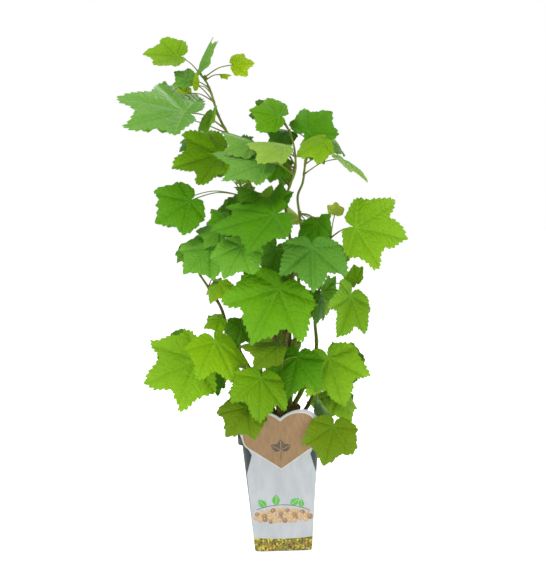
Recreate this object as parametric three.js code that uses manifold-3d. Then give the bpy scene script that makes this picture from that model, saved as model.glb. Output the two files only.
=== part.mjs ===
// A potted currant bush. A tall square nursery pot with a folded rim holds the soil and carries a
// card label with a heart-shaped head. From a short woody stool rise eleven stems, and each ends in
// its own mass of large lobed leaves on long stalks.
// Millimetres, +Z up. The origin is the middle of the pot's flat foot, and -Y faces the viewer.

import * as THREE from "three";
import { mergeVertices } from "three/addons/utils/BufferGeometryUtils.js";
import Module from "manifold-3d";

const wasm = await Module();
wasm.setup();

// Driving sizes
const CLEAR = 0.3; // gap that neighbouring pieces keep
const POT_HEIGHT = 160.8;
const FOOT_HALF = 38.3; // half the outer width at the foot
const WALL_TOP_HALF = 51.5; // half the outer width under the rim
const WALL_TOP = 149;
const RIM_HALF = 57.2; // half the outer width of the rim
const RIM_SKIRT = 11; // how far the rim hangs down
const WALL = 1.4;
const FLOOR = 1.8;
const SOIL_TOP = 149;
const DRAIN_RADIUS = 4.5;
const DRAIN_REACH = 22; // drain hole centres, from the middle along X and Y
const LABEL_THICK = 0.8;
const LABEL_FOOT = 1.2; // height of the label's lower edge
const LABEL_FOOT_HALF = 38.6; // half its width at the lower edge
const LABEL_HALF = 47.1; // and where it is widest below the waist
const LABEL_WIDE_HEIGHT = 109.6; // heights along the card, from its lower edge
const LABEL_WAIST_HALF = 39.2;
const LABEL_WAIST_HEIGHT = 137.2;
const HEART_HALF = 54.6;
const HEART_TOP = 200.3;
const HEART_CLEFT = 187.6;
const STOOL_TOP = 198;
const STEM_FOOT_RADIUS = 3.6;
const STEM_TIP_RADIUS = 1.7;
const TWIG_TIP_RADIUS = 1.3;
const STALK_RADIUS = 1.15;
const LEAF_THICK = 1.25;
const LEAF_FOLD = 8; // degrees that each half of a blade rises from its rib
const LEAF_ARCH = 0.08; // how far a blade bends back by its tip, of its length
const LARGE_LEAF = 55; // length from which a leaf in view has a full outline
const EYE_DISTANCE = 1800; // the leaves in view are laid out as seen from here
const EYE_HEIGHT = 520;

// Small helpers
const vec = (x, y, z) => new THREE.Vector3(x, y, z);
const rad = THREE.MathUtils.degToRad;
const lerp = THREE.MathUtils.lerp;

// Numbers from 0 to 1 that come out the same on every run
function seeded(seed) {
  let state = seed;
  return () => {
    state = (state * 16807) % 2147483647;
    return state / 2147483647;
  };
}

function solidOf(geometry) {
  const bare = geometry.clone();
  bare.deleteAttribute("normal");
  bare.deleteAttribute("uv");
  const merged = mergeVertices(bare, 1e-4);
  return new wasm.Manifold(
    new wasm.Mesh({
      numProp: 3,
      vertProperties: Float32Array.from(merged.attributes.position.array),
      triVerts: Uint32Array.from(merged.index.array),
    }),
  );
}

function geometryOf(solid) {
  const mesh = solid.getMesh();
  const geometry = new THREE.BufferGeometry();
  geometry.setAttribute("position", new THREE.BufferAttribute(Float32Array.from(mesh.vertProperties), 3));
  geometry.setIndex(new THREE.BufferAttribute(Uint32Array.from(mesh.triVerts), 1));
  geometry.computeVertexNormals();
  return geometry;
}

// The largest of a solid's loose pieces
function wholePiece(solid) {
  const pieces = solid.decompose();
  return pieces.reduce((best, next) => (next.volume() > best.volume() ? next : best));
}

function meshOf(points, faces) {
  const geometry = new THREE.BufferGeometry();
  geometry.setAttribute("position", new THREE.Float32BufferAttribute(points.flatMap((p) => p.toArray()), 3));
  geometry.setIndex(faces);
  return geometry;
}

// A closed skin over rings with the same number of points, with a fan over each end ring
function loft(rings) {
  const sides = rings[0].length;
  const points = rings.flat();
  const faces = [];
  for (let ring = 0; ring + 1 < rings.length; ring++) {
    for (let side = 0; side < sides; side++) {
      const a = ring * sides + side;
      const b = ring * sides + ((side + 1) % sides);
      faces.push(a, b, b + sides, a, b + sides, a + sides);
    }
  }
  for (const [ring, turnsOver] of [[0, true], [rings.length - 1, false]]) {
    const middle = rings[ring].reduce((sum, p) => sum.add(p), vec(0, 0, 0)).divideScalar(sides);
    points.push(middle);
    for (let side = 0; side < sides; side++) {
      const a = ring * sides + side;
      const b = ring * sides + ((side + 1) % sides);
      faces.push(points.length - 1, turnsOver ? b : a, turnsOver ? a : b);
    }
  }
  return meshOf(points, faces);
}

// Pot, soil and label

const CORNER_STEPS = 3;

function squareRing(half, corner, z) {
  const ring = [];
  for (let quarter = 0; quarter < 4; quarter++) {
    const middle = (quarter + 0.5) * (Math.PI / 2);
    const reach = (half - corner) * Math.SQRT2;
    for (let step = 0; step <= CORNER_STEPS; step++) {
      const angle = (quarter + step / CORNER_STEPS) * (Math.PI / 2);
      ring.push(vec(
        reach * Math.cos(middle) + corner * Math.cos(angle),
        reach * Math.sin(middle) + corner * Math.sin(angle),
        z,
      ));
    }
  }
  return ring;
}

// The corner grows with the width, as on a moulded pot
const potCorner = (half) => 9 + (half - FOOT_HALF) * 0.35;
const outerHalf = (z) => lerp(FOOT_HALF, WALL_TOP_HALF, z / WALL_TOP);
const potRing = (half, z) => squareRing(half, potCorner(half), z);

function potSolid() {
  const rimUnder = POT_HEIGHT - WALL;
  const skirtFoot = POT_HEIGHT - RIM_SKIRT;
  const wallUnderRim = outerHalf(rimUnder);
  const shell = solidOf(loft([
    potRing(FOOT_HALF - 1, 0),
    potRing(FOOT_HALF, 1.2),
    potRing(wallUnderRim, rimUnder),
    potRing(RIM_HALF - WALL, rimUnder),
    potRing(RIM_HALF - WALL - 0.3, skirtFoot),
    potRing(RIM_HALF - 0.3, skirtFoot),
    potRing(RIM_HALF, POT_HEIGHT - 0.8),
    potRing(RIM_HALF - 0.8, POT_HEIGHT),
    potRing(outerHalf(POT_HEIGHT) - WALL, POT_HEIGHT),
    potRing(outerHalf(FLOOR) - WALL, FLOOR),
  ]));
  let pot = shell;
  for (const [x, y] of [[1, 1], [-1, 1], [-1, -1], [1, -1]]) {
    const hole = new THREE.CylinderGeometry(DRAIN_RADIUS, DRAIN_RADIUS, 3 * FLOOR, 12);
    hole.rotateX(Math.PI / 2).translate(x * DRAIN_REACH, y * DRAIN_REACH, FLOOR / 2);
    pot = pot.subtract(solidOf(hole));
  }
  return pot;
}

function soilSolid() {
  const half = (z) => outerHalf(z) - WALL - CLEAR - 0.15;
  const low = FLOOR + CLEAR;
  return solidOf(loft([potRing(half(low), low), potRing(half(SOIL_TOP), SOIL_TOP)]));
}

// The card leans on the rim's skirt, and its lower edge stands at the foot of the wall
const LABEL_BACK_LOW = FOOT_HALF + 0.55;
const LABEL_BACK_HIGH = RIM_HALF;
const LABEL_LEAN = Math.atan((LABEL_BACK_HIGH - LABEL_BACK_LOW) / (POT_HEIGHT - RIM_SKIRT - LABEL_FOOT));

function labelOutline(grow) {
  const shape = new THREE.Shape();
  const foot = LABEL_FOOT_HALF + grow;
  const wide = LABEL_HALF + grow;
  const waist = LABEL_WAIST_HALF + grow;
  const heart = HEART_HALF + grow;
  const top = HEART_TOP + grow;
  const cleft = HEART_CLEFT + grow;
  const belly = HEART_TOP - 37; // where the heart's sides leave the straight
  const shoulder = HEART_TOP - 9;
  shape.moveTo(-foot + 3, -grow);
  shape.lineTo(foot - 3, -grow);
  shape.quadraticCurveTo(foot, -grow, foot, 3);
  shape.lineTo(wide, LABEL_WIDE_HEIGHT);
  shape.lineTo(waist, LABEL_WAIST_HEIGHT);
  shape.lineTo(heart - 1.4, belly);
  shape.bezierCurveTo(heart + 2, belly + 7, heart + 1, shoulder - 9.5, heart - 8, shoulder);
  shape.bezierCurveTo(heart - 16, top + 0.4, heart - 35, top + 3, 0, cleft);
  shape.bezierCurveTo(-heart + 35, top + 3, -heart + 16, top + 0.4, -heart + 8, shoulder);
  shape.bezierCurveTo(-heart - 1, shoulder - 9.5, -heart - 2, belly + 7, -heart + 1.4, belly);
  shape.lineTo(-waist, LABEL_WAIST_HEIGHT);
  shape.lineTo(-wide, LABEL_WIDE_HEIGHT);
  shape.lineTo(-foot, 3);
  shape.quadraticCurveTo(-foot, -grow, -foot + 3, -grow);
  return shape;
}

function labelSolid(grow) {
  const card = new THREE.ExtrudeGeometry(labelOutline(grow), {
    depth: LABEL_THICK + 2 * grow,
    bevelEnabled: false,
    curveSegments: 5,
  });
  card.translate(0, 0, -grow);
  card.rotateX(Math.PI / 2 + LABEL_LEAN);
  card.translate(0, -LABEL_BACK_LOW, LABEL_FOOT);
  return solidOf(card);
}

// Stool and stems

// A round limb through hand-set points, tapering from one radius to the other
function limb(points, radiusLow, radiusHigh, sides, steps) {
  const curve = new THREE.CatmullRomCurve3(points.map((p) => vec(...p)), false, "centripetal");
  const frames = curve.computeFrenetFrames(steps, false);
  const rings = [];
  for (let step = 0; step <= steps; step++) {
    const share = step / steps;
    const middle = curve.getPointAt(share);
    const radius = lerp(radiusLow, radiusHigh, share);
    const ring = [];
    for (let side = 0; side < sides; side++) {
      const angle = (side / sides) * 2 * Math.PI;
      ring.push(middle.clone()
        .addScaledVector(frames.normals[step], radius * Math.cos(angle))
        .addScaledVector(frames.binormals[step], radius * Math.sin(angle)));
    }
    rings.push(ring);
  }
  return solidOf(loft(rings));
}

// The stool widens to five root lobes at the soil and leans a little forward and to the right
const STOOL_SIDES = 20;
const STOOL_RINGS = [
  // height above the soil, radius, depth of the root lobes
  [0, 19, 0.26], [5, 15, 0.2], [12, 12.5, 0.12], [24, 11, 0.07], [38, 10.5, 0.05], [46, 9.5, 0.05],
];

function stoolSolid(grow) {
  const ground = SOIL_TOP + CLEAR;
  const rings = STOOL_RINGS.map(([height, radius, lobes]) => {
    const ring = [];
    for (let side = 0; side < STOOL_SIDES; side++) {
      const angle = (side / STOOL_SIDES) * 2 * Math.PI;
      const reach = radius * (1 + lobes * Math.cos(5 * angle + 0.6)) + grow;
      ring.push(vec(
        4 + 0.1 * height + reach * Math.cos(angle),
        -6 - 0.12 * height + reach * Math.sin(angle),
        ground + height + (height > 40 ? grow : 0),
      ));
    }
    return ring;
  });
  const stub = limb([[8, -12, STOOL_TOP - 14], [20, -17, STOOL_TOP - 8], [27, -19, STOOL_TOP - 2]],
    6 + grow, 4.6 + grow, 8, 3);
  return solidOf(loft(rings)).add(stub);
}

// Each stem's points, from inside the stool to where its mass of leaves begins
const STEMS = {
  leader: [[2, 0, 180], [5, 6, 240], [8, 9, 296], [-7, 12, 406], [-24, 10, 475], [-44, 4, 529], [-58, 3, 562]],
  upper: [[8, -14, 182], [13, -6, 240], [17, -4, 296], [23, 0, 392], [17, -3, 452], [15, -5, 473]],
  upright: [[12, -10, 184], [20, -12, 240], [25, -11, 296], [34, 2, 396], [37, 3, 426], [35, 2, 451]],
  upper_left: [[0, -2, 178], [-6, 14, 240], [-14, 22, 296], [-26, 26, 400], [-34, 20, 455], [-37, 15, 477]],
  left: [[-2, -8, 176], [-26, -10, 222], [-50, -14, 268], [-65, -14, 296], [-75, -12, 331], [-90, -10, 357]],
  centre: [[4, -14, 184], [-3, -20, 240], [-4, -26, 296], [-11, -30, 380], [-9, -31, 428]],
  front: [[10, -18, 178], [9, -26, 240], [13, -36, 300], [20, -40, 347]],
  right: [[10, -6, 178], [38, 2, 225], [53, 5, 270], [52, 1, 309], [56, -4, 343]],
  lower_left: [[-2, -14, 170], [-26, -26, 212], [-44, -34, 249]],
  lower_front: [[4, -18, 168], [3, -32, 202], [4, -41, 232]],
  lower_right: [[12, -14, 168], [36, -24, 192], [51, -30, 224]],
};

// Leaves

// Half the outline of a leaf of length 1: angle from the middle rib, and reach from the stalk's end
const LEAF_OUTLINE = [
  [0, 1.02], [12, 0.92], [27, 0.78], [34, 0.8], [47, 0.94], [58, 0.88], [75, 0.67], [93, 0.66],
  [112, 0.5], [140, 0.33], [180, 0.23],
];
const SMALL_OUTLINE = [[0, 1.02], [25, 0.78], [48, 0.93], [75, 0.67], [98, 0.63], [140, 0.33], [180, 0.23]];

// How a blade lies: the turn about its rib, in degrees. With no turn its upper face looks at the
// one it faces, and a turn lifts that face to the sky, or to the right on an upright leaf.
const OPEN = 8;
const TILTED = 30;
const STEEP = 50;
const EDGE = 68;
const AWAY = -45;
const TURNED = -65;

// Each mass has the points its twig runs through, from its stem's tip on, how many leaves fill its
// far side, and the leaves that face the viewer: where the stalk ends (x, y, z), where the tip
// shows (x, z), and how the blade lies.
const MASSES = {
  leader: {
    twig: [[-71, 0, 590], [-81, 0, 624], [-87, 0, 637], [-94, 0, 646]],
    behind: 2,
    leaves: [
      [-115, -35, 594, -202, 621, STEEP],
      [-128, 10, 676, -171, 682, STEEP],
      [-84, 0, 665, -74, 694, STEEP],
      [-47, -5, 653, -21, 656, TILTED],
      [-64, -8, 644, -51, 644, EDGE],
      [-109, 5, 638, -129, 651, TILTED],
      [-96, -12, 630, -100, 648, TURNED],
      [-113, -14, 621, -115, 634, TILTED],
      [-79, -2, 597, -90, 557, TURNED],
    ],
  },
  upper_left: {
    twig: [[-46, 14, 500], [-50, 24, 528], [-62, 36, 548]],
    behind: 2,
    leaves: [
      [-72, 40, 534, -134, 520, TILTED],
      [-99, 56, 564, -130, 542, EDGE],
      [-112, -12, 474, -159, 449, TILTED],
    ],
  },
  upper: {
    twig: [[23, -9, 495], [30, -14, 514], [30, -18, 540], [24, -14, 568]],
    behind: 4,
    leaves: [
      [-9, -45, 515, -77, 534, EDGE],
      [-23, -22, 547, -65, 566, EDGE],
      [17, -55, 534, -32, 543, EDGE],
      [10, -20, 586, -33, 598, TILTED],
      [17, 0, 521, 4, 492, TILTED],
    ],
  },
  upright: {
    twig: [[33, 2, 479], [40, 2, 496], [43, 4, 514], [46, 6, 535], [52, 4, 556]],
    behind: 3,
    leaves: [
      [47, -8, 565, 74, 597, TILTED],
      [67, -22, 555, 32, 539, STEEP],
      [67, -12, 549, 68, 521, AWAY],
      [92, -10, 527, 128, 499, EDGE],
      [93, -5, 539, 80, 564, EDGE],
      [27, 18, 555, -14, 564, EDGE],
      [59, -12, 442, 55, 404, AWAY],
    ],
  },
  centre: {
    twig: [[-6, -32, 448], [0, -34, 466]],
    behind: 3,
    leaves: [
      [1, -75, 458, -73, 442, STEEP],
      [-43, -75, 418, -68, 380, TILTED],
      [-2, -25, 467, 8, 498, STEEP],
      [-62, -40, 448, -82, 467, STEEP],
      [-23, -18, 486, -51, 497, EDGE],
      [-72, -18, 434, -105, 437, STEEP],
    ],
  },
  left: {
    twig: [[-104, -9, 380], [-110, -12, 400]],
    behind: 3,
    leaves: [
      [-85, -25, 413, -122, 382, TILTED],
      [-116, -20, 416, -132, 396, STEEP],
      [-73, -45, 368, -89, 344, STEEP],
    ],
  },
  front: {
    twig: [[24, -41, 380], [30, -44, 406]],
    behind: 3,
    leaves: [
      [4, -72, 361, -33, 296, OPEN],
      [48, -76, 414, 48, 360, OPEN],
      [1, -60, 412, -14, 367, AWAY],
    ],
  },
  right: {
    twig: [[70, -10, 389], [76, -12, 425]],
    behind: 3,
    leaves: [
      [109, -30, 439, 177, 425, TILTED],
      [93, -45, 346, 85, 293, AWAY],
      [83, 2, 454, 85, 469, OPEN],
      [36, 18, 447, 18, 468, EDGE],
      [94, 5, 402, 96, 381, EDGE],
      [108, -20, 362, 104, 385, AWAY],
      [65, -15, 349, 83, 368, AWAY],
      [59, -10, 340, 54, 307, STEEP],
    ],
  },
  lower_left: {
    twig: [[-58, -38, 282], [-66, -34, 312]],
    behind: 4,
    leaves: [
      [-106, -55, 268, -177, 243, TILTED],
      [-81, -82, 295, -52, 244, STEEP],
      [-86, -40, 249, -80, 219, STEEP],
      [-75, -30, 318, -98, 308, STEEP],
      [-48, -35, 310, -54, 283, TILTED],
    ],
  },
  lower_front: {
    twig: [[6, -46, 262], [10, -44, 280]],
    behind: 3,
    leaves: [
      [25, -72, 270, 6, 214, TILTED],
      [-23, -58, 241, -23, 188, TILTED],
      [-38, -92, 203, -70, 168, TILTED],
      [0, -50, 279, -49, 283, EDGE],
    ],
  },
  lower_right: {
    twig: [[58, -32, 248], [62, -34, 266]],
    behind: 3,
    leaves: [
      [67, -42, 264, 115, 221, STEEP],
      [85, -86, 171, 51, 135, STEEP],
      [78, -28, 213, 99, 179, STEEP],
      [56, -14, 221, 29, 210, EDGE],
      [55, -40, 197, 71, 169, TURNED],
    ],
  },
};

const EYE = vec(0, -EYE_DISTANCE, EYE_HEIGHT);
const VIEWER = vec(0, -1, 0);

// A blade in view hangs a little: its tip comes forward by half of what it drops
const leavesInView = (rows) => rows.map(([x, y, z, tipX, tipZ, turn]) => ({
  hub: vec(x, y, z), tip: vec(tipX, y - 0.5 * (z - tipZ), tipZ), turn, facing: VIEWER,
}));

// The rib's direction, the blade's side and its upper face's normal
function leafFrame({ hub, tip, turn, facing }) {
  const rib = tip.clone().sub(hub).normalize();
  const face = facing.clone().addScaledVector(rib, -facing.dot(rib)).normalize();
  let side = rib.clone().cross(face);
  const upright = Math.abs(side.z) < 0.3;
  if (upright ? side.x < 0 : side.z < 0) side = side.negate();
  const normal = face.clone().multiplyScalar(Math.cos(rad(turn))).addScaledVector(side, Math.sin(rad(turn)));
  return { rib, normal, side: normal.clone().cross(rib) };
}

// Points round the edge of a blade, lifted off its middle surface
function leafEdge(leaf, grow, lift) {
  const { rib, normal, side } = leafFrame(leaf);
  const length = leaf.hub.distanceTo(leaf.tip) + 2 * grow;
  const half = length > LARGE_LEAF && leaf.facing === VIEWER ? LEAF_OUTLINE : SMALL_OUTLINE;
  const outline = [...half, ...half.slice(1, -1).reverse().map(([angle, reach]) => [-angle, reach])];
  return outline.map(([angle, reach]) => {
    const along = reach * Math.cos(rad(angle));
    const across = reach * Math.sin(rad(angle));
    const height = Math.tan(rad(LEAF_FOLD)) * Math.abs(across) - LEAF_ARCH * reach * reach;
    return leaf.hub.clone()
      .addScaledVector(rib, along * length)
      .addScaledVector(side, across * length)
      .addScaledVector(normal, height * length + lift);
  });
}

// A closed blade, fanned from the stalk's end on both faces
function leafBlade(leaf, grow) {
  const { normal } = leafFrame(leaf);
  const lift = LEAF_THICK / 2 + grow;
  const upper = leafEdge(leaf, grow, lift);
  const lower = leafEdge(leaf, grow, -lift);
  const points = [...upper, ...lower,
    leaf.hub.clone().addScaledVector(normal, lift), leaf.hub.clone().addScaledVector(normal, -lift)];
  const count = upper.length;
  const faces = [];
  for (let a = 0; a < count; a++) {
    const b = (a + 1) % count;
    faces.push(2 * count, a, b, 2 * count + 1, count + b, count + a);
    faces.push(a, count + a, count + b, a, count + b, b);
  }
  return solidOf(meshOf(points, faces));
}

// A stalk leaves its twig a little below the leaf: the point whose drop suits the way across
const STALK_SLOPE = 0.35;
const ROOT_CHOICES = 24;

function stalkRoot(leaf, twig) {
  const curve = new THREE.CatmullRomCurve3(twig.map((p) => vec(...p)), false, "centripetal");
  let best = null;
  for (let step = 1; step < ROOT_CHOICES; step++) {
    const point = curve.getPointAt(step / ROOT_CHOICES);
    const drop = leaf.hub.z - point.z;
    const away = Math.hypot(leaf.hub.x - point.x, leaf.hub.y - point.y);
    const miss = Math.abs(drop - STALK_SLOPE * away) + 0.4 * away;
    if (!best || miss < best.miss) best = { miss, point };
  }
  return best.point;
}

// It bows up on its way and runs a little way on under the blade
function leafStalk(leaf, twig, grow) {
  const start = stalkRoot(leaf, twig);
  const bow = start.clone().lerp(leaf.hub, 0.5);
  bow.z += 0.1 * start.distanceTo(leaf.hub);
  const end = leaf.hub.clone().addScaledVector(leafFrame(leaf).rib, 3);
  const points = [start, bow, leaf.hub, end].map((p) => p.toArray());
  return limb(points, STALK_RADIUS + grow, STALK_RADIUS + grow, 3, 2);
}

// The same leaf, moved along the line of sight so that it looks alike from there
function movedBack(leaf, distance) {
  const share = (leaf.hub.y + distance - EYE.y) / (leaf.hub.y - EYE.y);
  const move = (p) => vec(
    lerp(EYE.x, p.x, share),
    p.y + distance,
    lerp(EYE.z, p.z, share),
  );
  return { ...leaf, hub: move(leaf.hub), tip: move(leaf.tip) };
}

// Where a point shows on the plane through the stool, and whether it lies in an outline there
function shownAt(p) {
  const share = -EYE.y / (p.y - EYE.y);
  return { x: lerp(EYE.x, p.x, share), z: lerp(EYE.z, p.z, share) };
}
function liesIn(point, outline) {
  let inside = false;
  outline.forEach((a, index) => {
    const b = outline.at(index - 1);
    const crosses = (a.z > point.z) !== (b.z > point.z);
    if (crosses && point.x < a.x + ((b.x - a.x) * (point.z - a.z)) / (b.z - a.z)) inside = !inside;
  });
  return inside;
}

// A leaf on the far side of the twig, smaller than a leaf in view, behind it and facing away
function leafBehind(front, twig, random) {
  const size = front.hub.distanceTo(front.tip) * lerp(0.62, 0.84, random());
  const heading = 2 * Math.PI * random();
  const middle = front.hub.clone().lerp(front.tip, lerp(0.2, 0.6, random()));
  const spine = twig[Math.floor(twig.length / 2)][1];
  const depth = Math.max(spine, 0) + lerp(20, 84, random());
  const rib = vec(Math.cos(heading), 0.35, Math.sin(heading)).normalize();
  const hub = vec(middle.x, depth, middle.z).addScaledVector(rib, -0.4 * size);
  const facing = vec(lerp(-0.6, 0.6, random()), 1, 0.5).normalize();
  const tip = hub.clone().addScaledVector(rib, size);
  return { hub, tip, turn: lerp(-15, 15, random()), facing };
}

// Everything that stands already, slightly grown, which no new leaf may touch
const taken = {
  label: labelSolid(CLEAR),
  pot: solidOf(loft([potRing(FOOT_HALF + 1, 0), potRing(RIM_HALF + 0.5, POT_HEIGHT + 0.5)])),
};
const isFree = (piece, own) => Object.entries(taken).every(
  ([name, space]) => name === own || piece.intersect(space).volume() < 1e-6,
);

const plant = new THREE.Group();

function addMesh(name, solid, colour, roughness) {
  const material = new THREE.MeshStandardMaterial({ color: colour, roughness, metalness: 0 });
  const mesh = new THREE.Mesh(geometryOf(solid), material);
  mesh.name = name;
  plant.add(mesh);
}

addMesh("pot", potSolid(), 0x4a5459, 0.5);
addMesh("soil", soilSolid(), 0x3b2a1c, 1);
addMesh("label", labelSolid(0), 0xc7ccd0, 0.6);
addMesh("stool", wholePiece(stoolSolid(0)), 0x4a3826, 0.95);

// Stems are cut by the stool and by the stems before them
const STEM_CLEAR = 0.4; // more than CLEAR, as round limbs have flat sides here
let wood = stoolSolid(STEM_CLEAR);

for (const [name, points] of Object.entries(STEMS)) {
  const steps = 2 * (points.length - 1);
  const stem = limb(points, STEM_FOOT_RADIUS, STEM_TIP_RADIUS, 6, steps);
  addMesh(`stem_${name}`, wholePiece(stem.subtract(wood)), 0x5c5a30, 0.8);
  const [before, tip] = points.slice(-2).map((p) => vec(...p));
  const beyond = tip.clone().add(tip.clone().sub(before).setLength(CLEAR));
  const space = limb([...points.slice(0, -1), beyond.toArray()], STEM_FOOT_RADIUS + STEM_CLEAR,
    STEM_TIP_RADIUS + STEM_CLEAR, 6, steps);
  taken[`stem_${name}`] = space;
  wood = wood.add(space);
}

// Each mass starts as its twig, from its stem's tip on
const masses = Object.entries(MASSES).map(([name, { twig: path, behind, leaves }]) => {
  const twig = [STEMS[name].at(-1), ...path];
  const steps = 2 * (twig.length - 1);
  taken[name] = limb(twig, STEM_TIP_RADIUS + STEM_CLEAR, TWIG_TIP_RADIUS + STEM_CLEAR, 5, steps);
  const solid = limb(twig, STEM_TIP_RADIUS, TWIG_TIP_RADIUS, 5, steps).subtract(wood);
  return { name, twig, behind, solid, inView: leavesInView(leaves) };
});

function grows(mass, leaf) {
  const piece = leafBlade(leaf, 0).add(leafStalk(leaf, mass.twig, 0));
  if (!isFree(piece, mass.name)) return false;
  mass.solid = mass.solid.add(piece);
  taken[mass.name] = taken[mass.name].add(leafBlade(leaf, CLEAR)).add(leafStalk(leaf, mass.twig, CLEAR));
  return true;
}

// The leaves in view come first. One that would touch another mass or a limb steps forward or
// back by a little more each time, and is skipped if it finds no place.
const DEPTH_STEP = 4;
const DEPTH_CHOICES = 19;
for (const mass of masses) {
  for (const leaf of mass.inView) {
    for (let choice = 0; choice < DEPTH_CHOICES; choice++) {
      const distance = DEPTH_STEP * Math.ceil(choice / 2) * (choice % 2 ? -1 : 1);
      if (grows(mass, movedBack(leaf, distance))) break;
    }
  }
}

// Those behind fill the room that is left, where the leaves in view hide them
const outlines = masses.flatMap((mass) => mass.inView.map((leaf) => leafEdge(leaf, 0, 0).map(shownAt)));
const HIDDEN_SHARE = 0.8;
const TRIES = 400;

function isHidden(leaf) {
  const edge = leafEdge(leaf, 0, 0).map(shownAt);
  const hidden = edge.filter((point) => outlines.some((outline) => liesIn(point, outline)));
  return hidden.length >= HIDDEN_SHARE * edge.length;
}

masses.forEach((mass, index) => {
  const random = seeded(7919 * (index + 1));
  let wanted = mass.behind;
  for (let tries = 0; wanted > 0 && tries < TRIES; tries++) {
    const front = mass.inView[Math.floor(random() * mass.inView.length)];
    const leaf = leafBehind(front, mass.twig, random);
    if (isHidden(leaf) && grows(mass, leaf)) wanted -= 1;
  }
});

for (const mass of masses) addMesh(`leaves_${mass.name}`, wholePiece(mass.solid), 0x6fae2e, 0.6);

export default plant;
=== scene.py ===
import math

import bpy
import numpy as np
from mathutils import Matrix, Vector, noise
from mathutils.bvhtree import BVHTree
from mathutils.kdtree import KDTree


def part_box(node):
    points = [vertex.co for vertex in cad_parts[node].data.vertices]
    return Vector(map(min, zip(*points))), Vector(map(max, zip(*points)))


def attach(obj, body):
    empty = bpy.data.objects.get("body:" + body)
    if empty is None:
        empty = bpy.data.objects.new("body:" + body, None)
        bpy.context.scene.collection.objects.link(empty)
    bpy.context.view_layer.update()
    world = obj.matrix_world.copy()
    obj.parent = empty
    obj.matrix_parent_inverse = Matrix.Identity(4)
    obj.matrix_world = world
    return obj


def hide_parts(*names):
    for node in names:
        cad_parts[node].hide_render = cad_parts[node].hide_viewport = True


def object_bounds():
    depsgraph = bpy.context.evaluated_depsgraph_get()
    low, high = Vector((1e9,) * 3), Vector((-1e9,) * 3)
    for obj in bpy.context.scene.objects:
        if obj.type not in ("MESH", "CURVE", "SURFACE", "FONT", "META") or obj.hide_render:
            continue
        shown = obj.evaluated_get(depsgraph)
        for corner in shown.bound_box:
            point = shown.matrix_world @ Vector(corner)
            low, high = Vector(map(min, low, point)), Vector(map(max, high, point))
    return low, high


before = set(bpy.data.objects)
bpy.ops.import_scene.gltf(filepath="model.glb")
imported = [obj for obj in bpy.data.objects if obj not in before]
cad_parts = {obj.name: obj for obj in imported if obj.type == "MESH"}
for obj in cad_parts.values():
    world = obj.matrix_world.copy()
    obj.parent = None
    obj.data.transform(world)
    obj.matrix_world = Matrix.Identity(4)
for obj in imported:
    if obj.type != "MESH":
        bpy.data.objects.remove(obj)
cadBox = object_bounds()
millimetre = 0.001


# Node materials: sockets with Python's operators, and one method that makes any node

class Wire:
    def __init__(self, finish, socket):
        self.finish = finish
        self.socket = socket

    def maths(self, operation, first, second=None):
        values = {0: first} if second is None else {0: first, 1: second}
        return self.finish.wire("ShaderNodeMath", {"operation": operation}, values)

    def __add__(self, other):
        return self.maths("ADD", self, other)

    def __radd__(self, other):
        return self.maths("ADD", other, self)

    def __sub__(self, other):
        return self.maths("SUBTRACT", self, other)

    def __rsub__(self, other):
        return self.maths("SUBTRACT", other, self)

    def __mul__(self, other):
        return self.maths("MULTIPLY", self, other)

    def __rmul__(self, other):
        return self.maths("MULTIPLY", other, self)

    def __truediv__(self, other):
        return self.maths("DIVIDE", self, other)

    def __rtruediv__(self, other):
        return self.maths("DIVIDE", other, self)

    def __pow__(self, other):
        return self.maths("POWER", self, other)

    def __gt__(self, other):
        return self.maths("GREATER_THAN", self, other)

    def __abs__(self):
        return self.maths("ABSOLUTE", self)

    def highest(self, other):
        return self.maths("MAXIMUM", self, other)

    def lowest(self, other):
        return self.maths("MINIMUM", self, other)

    def fraction(self):
        return self.maths("FRACT", self)

    def ramp(self, low, high):  # 0 below low, 1 above high, smooth between them
        sockets = {"Value": self, "From Min": low, "From Max": high}
        return self.finish.wire("ShaderNodeMapRange", {"interpolation_type": "SMOOTHSTEP"}, sockets)


class Finish:
    def __init__(self, name):
        self.material = bpy.data.materials.new(name)
        self.material.use_nodes = True
        self.tree = self.material.node_tree
        self.tree.nodes.clear()

    def node(self, kind, settings=None, sockets=None):
        made = self.tree.nodes.new(kind)
        for key, value in (settings or {}).items():
            setattr(made, key, value)
        for key, value in (sockets or {}).items():
            if isinstance(value, Wire):
                self.tree.links.new(value.socket, made.inputs[key])
            else:
                made.inputs[key].default_value = value
        return made

    def wire(self, kind, settings=None, sockets=None, output=0):
        return Wire(self, self.node(kind, settings, sockets).outputs[output])

    def mix(self, share, first, second):  # colours
        settings = {"data_type": "RGBA"}
        return self.wire("ShaderNodeMix", settings, {0: share, 6: first, 7: second}, output=2)

    def place(self):
        return self.wire("ShaderNodeTexCoord", output="Object")

    def split(self, vector):
        parts = self.node("ShaderNodeSeparateXYZ", None, {0: vector})
        return [Wire(self, parts.outputs[axis]) for axis in range(3)]

    def noise(self, vector, scale, detail=3, roughness=0.55):
        sockets = {"Vector": vector, "Scale": scale, "Detail": detail, "Roughness": roughness}
        return self.wire("ShaderNodeTexNoise", None, sockets)

    def bump(self, height, depth, strength=1.0):  # depth in metres
        sockets = {"Height": height, "Distance": depth, "Strength": strength}
        return self.wire("ShaderNodeBump", None, sockets)

    def stretched(self, vector, share):  # so that a pattern runs upwards
        return self.wire("ShaderNodeMapping", None, {"Vector": vector, "Scale": (1.0, 1.0, share)})

    def skin(self, base, roughness, normal=None, gloss=0.5):
        sockets = {"Base Color": base, "Roughness": roughness, "Specular IOR Level": gloss}
        if normal is not None:
            sockets["Normal"] = normal
        return self.wire("ShaderNodeBsdfPrincipled", None, sockets)

    def end(self, shader):
        self.node("ShaderNodeOutputMaterial", None, {"Surface": shader})
        return self.material


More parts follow.
